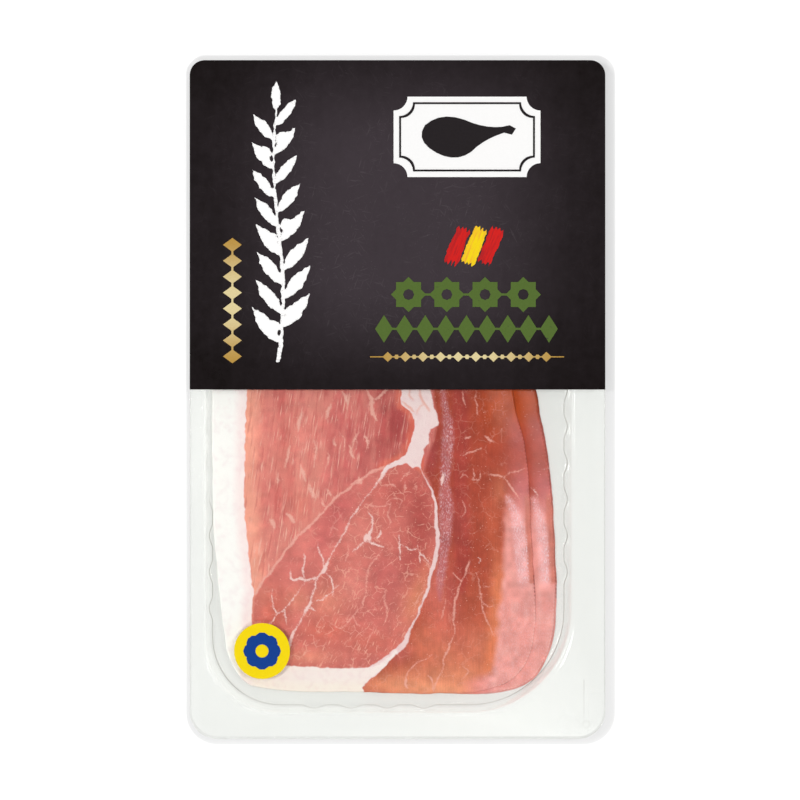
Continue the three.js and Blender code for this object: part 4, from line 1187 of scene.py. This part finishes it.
def tray_sweep_tree(count, material):
    """Geometry nodes that carry a section round the pack, with the flutes swelling out of its lower walls."""
    group = bpy.data.node_groups.new("fluted tray", "GeometryNodeTree")
    tree = Tree(group)
    sockets = {}

    def size(name, value):
        socket = group.interface.new_socket(name, in_out="INPUT", socket_type="NodeSocketFloat")
        sockets[name] = (socket.identifier, value)

    group.interface.new_socket("Section", in_out="INPUT", socket_type="NodeSocketGeometry")
    group.interface.new_socket("Geometry", in_out="OUTPUT", socket_type="NodeSocketGeometry")
    for name, value in MOUTH.items():
        size("Mouth " + name, value * MM)
    for name, value in PACK.items():
        size("Pack " + name, value * MM)
    for name, value in FLUTE.items():
        size("Flute " + name, value if "count" in name else value * MM)
    inputs = tree.add("NodeGroupInput").socket.node
    given = {socket.name: Value(tree, socket) for socket in inputs.outputs if socket.name}

    index = tree.add("GeometryNodeInputIndex")
    station = tree.maths("FLOOR", (index + 0.5) / count)
    ring = index - station * count

    def of_section(value, kind="FLOAT"):
        return tree.add("GeometryNodeSampleIndex", {"data_type": kind, "domain": "POINT"},
                        {"Geometry": given["Section"], "Value": value, "Index": ring}, out="Value")

    def named(name):
        return tree.add("GeometryNodeInputNamedAttribute", {"data_type": "FLOAT"}, {"Name": name})

    inset, share, height = tree.split(of_section(tree.add("GeometryNodeInputPosition"), "FLOAT_VECTOR"))
    share = share / MM
    flute, middle, *marks = (of_section(named(k)) for k in SECTION_FIELDS)

    order, starts, at = ["short", "corner", "long", "corner"] * 2, [], 0
    for part in order:
        starts.append(at)
        at += AROUND[part]
    done = [tree.maths("MULTIPLY", station - start, 1 / AROUND[part], clamp=True)
            for start, part in zip(starts, order)]
    angle = (done[1] + done[3] + done[5] + done[7]) * (math.pi / 2) - math.pi / 2
    over, up = done[0] - done[4], done[2] - done[6]

    between = lambda a, b, t: a + (b - a) * t
    # each side's line and each corner's radius at this point of the section
    half_width, half_length = given["Pack width"] * 0.5, given["Pack length"] * 0.5
    left = between(given["Mouth left"] + inset, 0 - half_width, share)
    right = between(given["Mouth right"] - inset, half_width, share)
    bottom = between(given["Mouth bottom"] + inset, 0 - half_length, share)
    top = between(given["Mouth top"] - inset, half_length, share)
    near_corner = between(given["Mouth near left corner"], given["Mouth near right corner"], over)
    low = between(near_corner - inset, given["Pack corner_bottom"], share)
    high = between(given["Mouth far corner"] - inset, given["Pack corner_top"], share)
    round_ = between(low, high, up)
    centre_x = between(left + round_, right - round_, over)
    centre_y = between(bottom + low, top - high, up)
    cos, sin = tree.maths("COSINE", angle), tree.maths("SINE", angle)

    def swell(place, way, one, other, at_other):
        number = between(given[f"Flute {one} count"], given[f"Flute {other} count"], at_other)
        centre = between(given[f"Flute {one} middle"], given[f"Flute {other} middle"], at_other)
        n = (place - centre) / given[f"Flute {way} pitch"] + number * 0.5
        wave = tree.maths("SUBTRACT", 0.25, 0.75 * tree.maths("COSINE", n * (2 * math.pi)), clamp=True)
        return wave * (n > 0.0) * (n < number) * given["Flute depth"] * flute

    on_long, on_short = (tree.maths("ABSOLUTE", turn) > 0.999 for turn in (cos, sin))
    x = centre_x + cos * (round_ + swell(centre_y, "long", "left", "right", over) * on_long)
    y = centre_y + sin * (round_ + swell(centre_x, "short", "near", "far", up) * on_short)
    x = between(x, (given["Mouth left"] + given["Mouth right"]) * 0.5, middle)
    y = between(y, (given["Mouth bottom"] + given["Mouth top"]) * 0.5, middle)
    spot = tree.add("ShaderNodeCombineXYZ", None, {0: x, 1: y, 2: height})

    grid = tree.add("GeometryNodeMeshGrid", None, {"Vertices X": at + 1, "Vertices Y": count})
    skin = tree.add("GeometryNodeSetPosition", None, {"Geometry": grid, "Position": spot})
    for name, mark in zip(SECTION_FIELDS[2:], marks):
        skin = tree.add("GeometryNodeStoreNamedAttribute", {"data_type": "FLOAT", "domain": "POINT"},
                        {"Geometry": skin, "Name": name, "Value": mark})
    skin = tree.add("GeometryNodeMergeByDistance", None, {"Geometry": skin, "Distance": 2e-6})
    skin = tree.add("GeometryNodeSetShadeSmooth", None, {"Geometry": skin})
    skin = tree.add("GeometryNodeRealizeInstances", None, {"Geometry": skin})
    skin = tree.add("GeometryNodeSetMaterial", None, {"Geometry": skin, "Material": material})
    tree.add("NodeGroupOutput", None, {0: skin})
    return group, sockets


def fluted_tray(material):
    section = tray_profile()
    mesh = bpy.data.meshes.new("tray section")
    mesh.from_pydata([(inset * MM, share * MM, height * MM) for inset, share, height, *_ in section], [], [])
    for k, name in enumerate(SECTION_FIELDS):
        mesh.attributes.new(name, "FLOAT", "POINT").data.foreach_set("value", [row[3 + k] for row in section])
    mould = linked("tray section", mesh)
    group, sockets = tray_sweep_tree(len(section), material)
    modifier = mould.modifiers.new("sweep", "NODES")
    modifier.node_group = group
    for identifier, value in sockets.values():
        modifier[identifier] = float(value)
    bpy.context.view_layer.update()
    made = bpy.data.meshes.new_from_object(mould.evaluated_get(bpy.context.evaluated_depsgraph_get()))
    bpy.data.objects.remove(mould)
    closed_outwards(made)
    made.name = "clear_tray"
    return carried(linked("clear_tray", made), "tray", "tray_plastic")


def closed_outwards(mesh):
    """Turns a closed mesh right side out."""
    shape = bmesh.new()
    shape.from_mesh(mesh)
    if shape.calc_volume(signed=True) < 0:
        bmesh.ops.reverse_faces(shape, faces=shape.faces)
    shape.to_mesh(mesh)
    shape.free()


# ---------------------------------------------------------------- lidding film


def pack_ring(spacing):
    """The pack's outline, anticlockwise."""
    w, l = PACK["width"] / 2, PACK["length"] / 2
    ring = []
    for cx, cy, r, start in ((w, -l, PACK["corner_bottom"], 270), (w, l, PACK["corner_top"], 0),
                             (-w, l, PACK["corner_top"], 90), (-w, -l, PACK["corner_bottom"], 180)):
        x, y = cx - math.copysign(r, cx), cy - math.copysign(r, cy)
        for k in range(13):
            a = math.radians(start + 90 * k / 12)
            ring.append((x + r * math.cos(a), y + r * math.sin(a)))
    return even_spacing(np.array(ring), spacing)


def film_sag(x, y):
    """How far the film dips below its seal: a little over the open part of the mouth."""
    inside = smooth(0.5, 16, mouth_depth(x, y)) * smooth(PANEL_EDGE - 1, PANEL_EDGE - 22, y)
    clear_of_mark = smooth(SEAL["radius"] + 1, SEAL["radius"] + 14, np.hypot(x - SEAL["x"], y - SEAL["y"]))
    waves = 0.22 + 0.1 * wander(x, y, 26, 61) + 0.04 * wander(x, y, 11, 62)
    return inside * clear_of_mark * waves


FILM_GRID, PRINTED_GRID, FILM_MARGIN = 1.6, 6, 0.9
# rings of the film's edge: inset, height
FILM_EDGE = [(0.3, TRAY_HEIGHT), (0.03, TRAY_HEIGHT), (0, TRAY_HEIGHT + 0.03), (0, LID_TOP - 0.03),
             (0.03, LID_TOP), (0.3, LID_TOP)]


def lidding_film(material):
    ring = pack_ring(FILM_GRID)
    normal = outward(ring)
    w, l = PACK["width"] / 2, PACK["length"] / 2
    clear_end = PANEL_EDGE + 3
    inner = np.vstack([grid_points(-w, w, 0.5 - l, clear_end, FILM_GRID),
                       grid_points(-w, w, clear_end, l - 0.5, PRINTED_GRID)])
    depth = rounded_box_depth(inner[:, 0], inner[:, 1], -w, w, -l, l, PACK["corner_bottom"])
    inner = inner[depth > FILM_MARGIN]
    sag = film_sag(inner[:, 0], inner[:, 1])
    top = np.column_stack([inner, LID_TOP - sag])
    bottom = np.column_stack([inner, TRAY_HEIGHT - sag])
    walls = [np.column_stack([ring - normal * inset, np.full(len(ring), z)]) for inset, z in FILM_EDGE]
    points, faces = closed_sheet(walls, top, bottom)
    return piece("lidding_film", points, faces, material, "lid_film", "film")


# ---------------------------------------------------------------- rough-edged prints


def outline_loops(node):
    """The outlines of a printed node's top face, in mm."""
    shape = bmesh.new()
    shape.from_mesh(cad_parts[node].data)
    bmesh.ops.remove_doubles(shape, verts=shape.verts, dist=1e-6)
    shape.faces.index_update()
    shape.verts.index_update()
    top = max(v.co.z for v in shape.verts)
    level = [face for face in shape.faces if all(v.co.z > top - 1e-6 for v in face.verts)]
    numbers = {face.index for face in level}
    following = {}
    for face in level:
        for loop in face.loops:
            if not any(f.index in numbers for f in loop.edge.link_faces if f is not face):
                following[loop.vert.index] = (loop.link_loop_next.vert.index, loop.vert.co.copy() / MM)
    loops = []
    while following:
        start = next(iter(following))
        at, ring = start, []
        while at in following:
            step, place = following.pop(at)
            ring.append((place.x, place.y))
            at = step
        if len(ring) > 2:
            loops.append(np.array(ring))
    shape.free()
    return loops


PRINT_SPACING, PRINT_GRID, PRINT_MARGIN = 0.45, 0.9, 0.35


def shaken(ring, jitter, seed):
    """An outline with the unevenness of chalk or of a dry brush."""
    ring = even_spacing(ring, PRINT_SPACING)
    shake = wander(*ring.T, 1.5, seed) + 0.6 * wander(*ring.T, 0.6, seed + 1) - 0.35
    return ring + outward(ring) * (jitter * shake)[:, None]


def within(loops, points):
    """Whether points lie inside outlines that may have holes, and how far they are from the nearest line."""
    depths = [outline_depth(ring, points) for ring in loops]
    return np.logical_xor.reduce([depth > 0 for depth in depths]), np.abs(depths).min(0)


def rough_print(node, name, material, jitter, seed, slot):
    """A printed node again, with an uneven outline."""
    low, high = (p.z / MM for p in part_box(node))
    loops = [shaken(ring, jitter, seed) for ring in outline_loops(node)]
    flat = np.vstack(loops)
    (x0, y0), (x1, y1) = flat.min(0), flat.max(0)
    inner = grid_points(x0, x1, y0, y1, PRINT_GRID)
    inside, nearest = within(loops, inner)
    inner = inner[inside & (nearest > PRINT_MARGIN)]
    edges, first = [], 0
    for ring in loops:
        edges += [(first + i, first + (i + 1) % len(ring)) for i in range(len(ring))]
        first += len(ring)
    found = delaunay_2d_cdt([Vector(p) for p in np.vstack([flat, inner]).tolist()], edges, [], 0, 1e-7)
    where = np.array([list(p) for p in found[0]])
    upper = np.array(found[2])
    upper = upper[within(loops, where[upper].mean(1))[0]]
    p, q, r = (where[upper[:, k]] for k in range(3))
    turn = (q - p)[:, 0] * (r - p)[:, 1] - (q - p)[:, 1] * (r - p)[:, 0]
    upper[turn < 0] = upper[turn < 0][:, ::-1]
    upper = [tuple(face) for face in upper.tolist()]
    count = len(where)
    points = np.vstack([np.column_stack([where, np.full(count, z)]) for z in (high, low)])
    faces = upper + [tuple(k + count for k in face[::-1]) for face in upper]
    sides = {side: True for a, b, c in upper for side in ((a, b), (b, c), (c, a))}
    faces += [(b, a, a + count, b + count) for a, b in sides if (b, a) not in sides]
    fields = {"edge": np.tile(within(loops, where)[1], 2)}
    thing = piece(name, points, faces, material, node, slot, fields)
    thing.data.polygons.foreach_set("use_smooth", [False] * len(thing.data.polygons))
    return thing


# ---------------------------------------------------------------- making the pack

ham = ham_material()
for name in ("slice_bottom", "slice_middle", "slice_top"):
    ham_slice(name, ham)
fluted_tray(tray_material())
lidding_film(film_material())

BLACK, SLATE, WHITE = (38, 33, 35), (58, 51, 55), (261, 260, 259)
GREEN, BLUE, PALE_BLUE = (88, 112, 51), (15, 65, 148), (30, 84, 166)
YELLOW, DARK_YELLOW = (255, 225, 10), (226, 190, 10)
BRUSH_RED, BRUSH_YELLOW = [(218, 28, 24), (186, 22, 26)], [(255, 222, 14), (250, 184, 44)]    # light, dark
BRUSH_LEAN, BRUSH_JITTER, CHALK_JITTER = 22, 0.3, 0.32

rough_print("chalk_sprig", "chalk_sprig_print", chalk_material(), CHALK_JITTER, 71, "print_chalk")
red_brush = brush_material("red brush ink", *BRUSH_RED, BRUSH_LEAN)
yellow_brush = brush_material("yellow brush ink", *BRUSH_YELLOW, BRUSH_LEAN)
for k, ink, slot in ((1, red_brush, "print_red"), (2, yellow_brush, "print_yellow"),
                     (3, red_brush, "print_red")):
    rough_print(f"brush_dab_{k}", f"brush_dab_{k}_print", ink, BRUSH_JITTER, 80 + 2 * k, slot)

FINISHES = {
    "print_panel": slate_material(),
    "plaque": ink_material("white ink", WHITE, SLATE, grain=0.02),
    "plaque_line": ink_material("black ink", BLACK, WHITE, grain=0.1),
    "frieze_upper": ink_material("green ink", GREEN, SLATE, 0.85, 0.06),
    "gold_chain": gold_material(),
    "seal_disc": ink_material("yellow ink", YELLOW, DARK_YELLOW, 0.3, 0.04),
    "seal_rosette": ink_material("blue ink", BLUE, PALE_BLUE, 0.3, 0.06),
}
SAME_FINISH = {"plaque_mark": "plaque_line", "frieze_lower": "frieze_upper", "gold_rule": "gold_chain"}
for node, finish in list(FINISHES.items()) + [(n, FINISHES[f]) for n, f in SAME_FINISH.items()]:
    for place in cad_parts[node].material_slots:
        place.material = finish

# ---------------------------------------------------------------- table, light and camera

TABLE_GREY, TABLE_GLOW = 0.45, 0.62    # the pack lies on a lit table, as for a product photograph
TABLE_REACH, TABLE_DROP = 4000, 0.1
# The painted shadow on the ground close about the pack, in rings from the tray's floor out to bare table.
# Gathered is the share of the shadow that painted light, standing for light focused by the rounded mouth,
# takes away along the left and near sides, and bright end the share that is gone at the near side's right
# end.
MOUTH_IN_PACK = {"left": 5.7, "right": 12.4, "near": 9.5, "far": 9.5}
# inset from the mouth, shade, gathered, bright end
MOUTH_SHADE = [(9, 0.16, 0, 0), (1.5, 0.16, 0, 0), (0.9, 0.15, 1, 1), (-0.6, 0.14, 1, 1),
               (-1.4, 0.125, 0.3, 0.9)]
EDGE_SHADE = (0.125, 0, 0.8)    # shade, gathered, bright end
EDGE_INSET, SHADE_CORNER = 0.15, 1.5
SHADE_REACH = {"left": 1.7, "right": 3.9, "near": 2.7, "far": 2.4}
# share of the reach, shade
OUTER_SHADE = [(0, 0.243), (0.6, 0.214), (0.8, 0.2), (0.93, 0.182), (1, 0.155), (1.12, 0)]
ARC_STEPS, SIDE_STEPS = 12, 12


def table_material():
    def build(tree):
        shade = tree.field("shade")
        colour = tree.mix(shade, (TABLE_GREY,) * 3, (0, 0, 0))
        glow = tree.mix(shade, (1, 1, 1), (0, 0, 0))
        return coated(tree, colour, 0.9, IOR=1.1, Emission_Color=glow, Emission_Strength=TABLE_GLOW)
    return new_material("pale table", build)


def shade_ring(out, corners, shade, gathered=0, bright_end=0):
    """Points on the table round the pack, out mm beyond its edges, each with the shade there."""
    arcs = []
    for k, (sx, sy, side, end) in enumerate(((1, -1, "right", "near"), (1, 1, "right", "far"),
                                             (-1, 1, "left", "far"), (-1, -1, "left", "near"))):
        x = sx * (PACK["width"] / 2 + out[side] - corners[k])
        y = sy * (PACK["length"] / 2 + out[end] - corners[k])
        t = np.linspace(0, 1, ARC_STEPS + 1)
        angle = np.radians(270 + 90 * (k + t))
        focus = (1 - t, 0 * t, t, 1 + 0 * t)[k]
        bright = 1 - t if k == 0 else 0 * t
        x, y = x + corners[k] * np.cos(angle), y + corners[k] * np.sin(angle)
        arcs.append(np.column_stack([x, y, focus, bright]))
    ring = np.vstack([np.vstack([arc[:-1], np.linspace(arc[-1], after[0], SIDE_STEPS, endpoint=False)])
                      for arc, after in zip(arcs, arcs[1:] + arcs[:1])])
    return ring[:, :2], shade * (1 - np.maximum(gathered * ring[:, 2], bright_end * ring[:, 3]))


def table():
    """A flat table in nested rings, so that the shade can follow the pack."""
    mouth = [MOUTH[key] for key in ("near right corner", "far corner", "far corner", "near left corner")]
    pack = [PACK[key] for key in ("corner_bottom", "corner_top", "corner_top", "corner_bottom")]
    rings = []
    for inset, *rest in MOUTH_SHADE:
        out = {side: -room - inset for side, room in MOUTH_IN_PACK.items()}
        rings.append(shade_ring(out, [radius - inset for radius in mouth], *rest))
    rings.append(shade_ring({side: -EDGE_INSET for side in SHADE_REACH}, pack, *EDGE_SHADE))
    for share, shade in OUTER_SHADE:
        out = {side: reach * share for side, reach in SHADE_REACH.items()}
        rings.append(shade_ring(out, [radius + SHADE_CORNER * share for radius in pack], shade))
    rings.append(shade_ring({side: TABLE_REACH for side in SHADE_REACH}, [TABLE_REACH / 8] * 4, 0))
    count = len(rings[0][0])
    points = np.vstack([np.column_stack([ring, np.full(count, -TABLE_DROP)]) for ring, shades in rings])
    faces = [tuple(range(count))]
    for r in range(len(rings) - 1):
        for i in range(count):
            a, b = r * count + i, r * count + (i + 1) % count
            faces.append((a, a + count, b + count, b))
    mesh = bpy.data.meshes.new("table")
    mesh.from_pydata((points * MM).tolist(), [], faces)
    shade = np.concatenate([shades for ring, shades in rings])
    mesh.attributes.new("shade", "FLOAT", "POINT").data.foreach_set("value", shade)
    mesh.materials.append(table_material())
    linked("table", mesh)


LIGHT_DISTANCE, LIGHT_AIM = 3, (0, 0, 0.01)    # metres
# azimuth and angle from the vertical in degrees, width and length in metres, watts
LIGHTS = {
    "key light": (170, 19, (0.36, 0.36), 30.5),
    "right light": (13, 19, (0.3, 0.5), 17.2),
    "near light": (255, 19, (0.5, 0.4), 18.5),
    "far light": (75, 20, (0.5, 0.4), 8.5),
}
SKY_BANDS = (0.35, 0.8, 0.85, 0.03)    # bright up to the first height, and dim from the second


def soft_light(name, azimuth, from_vertical, size, watts):
    """A square light, aimed at the pack, that the camera doesn't see."""
    lamp = bpy.data.lights.new(name, "AREA")
    lamp.shape, lamp.size, lamp.size_y, lamp.energy = "RECTANGLE", size[0], size[1], watts
    thing = linked(name, lamp)
    a, b = math.radians(azimuth), math.radians(from_vertical)
    way = Vector((math.cos(a) * math.sin(b), math.sin(a) * math.sin(b), math.cos(b)))
    thing.location = Vector(LIGHT_AIM) + LIGHT_DISTANCE * way
    thing.rotation_euler = (-way).to_track_quat("-Z", "Y").to_euler()
    thing.visible_camera = False


def studio():
    world = bpy.data.worlds.new("studio")
    world.use_nodes = True
    world.node_tree.nodes.clear()
    tree = Tree(world.node_tree)
    x, y, z = tree.split(tree.add("ShaderNodeTexCoord", out="Generated"))
    low, high, bright, dim = SKY_BANDS
    level = tree.ease(low, high, z, bright, dim)
    sky = tree.add("ShaderNodeBackground", None, {"Color": (1, 1, 1), "Strength": level})
    tree.add("ShaderNodeOutputWorld", None, {"Surface": sky})
    bpy.context.scene.world = world
    for name, settings in LIGHTS.items():
        soft_light(name, *settings)


def photo_camera():
    lens = bpy.data.cameras.new("camera")
    lens.type, lens.lens, lens.sensor_width = "PERSP", LENS, SENSOR
    lens.clip_start, lens.clip_end = CLIP
    thing = linked("camera", lens)
    wide = PHOTO_WIDTH * PIXEL * MM
    x = (PHOTO_WIDTH / 2 - PACK_MIDDLE[0]) * PIXEL * MM
    y = (PACK_MIDDLE[1] - PHOTO_WIDTH / 2) * PIXEL * MM
    thing.location = (x, y, LID_TOP * MM + wide * LENS / SENSOR)
    bpy.context.scene.camera = thing


table()
studio()
photo_camera()
bpy.context.scene.view_settings.view_transform = "Standard"
bpy.context.scene.cycles.transparent_max_bounces = 24
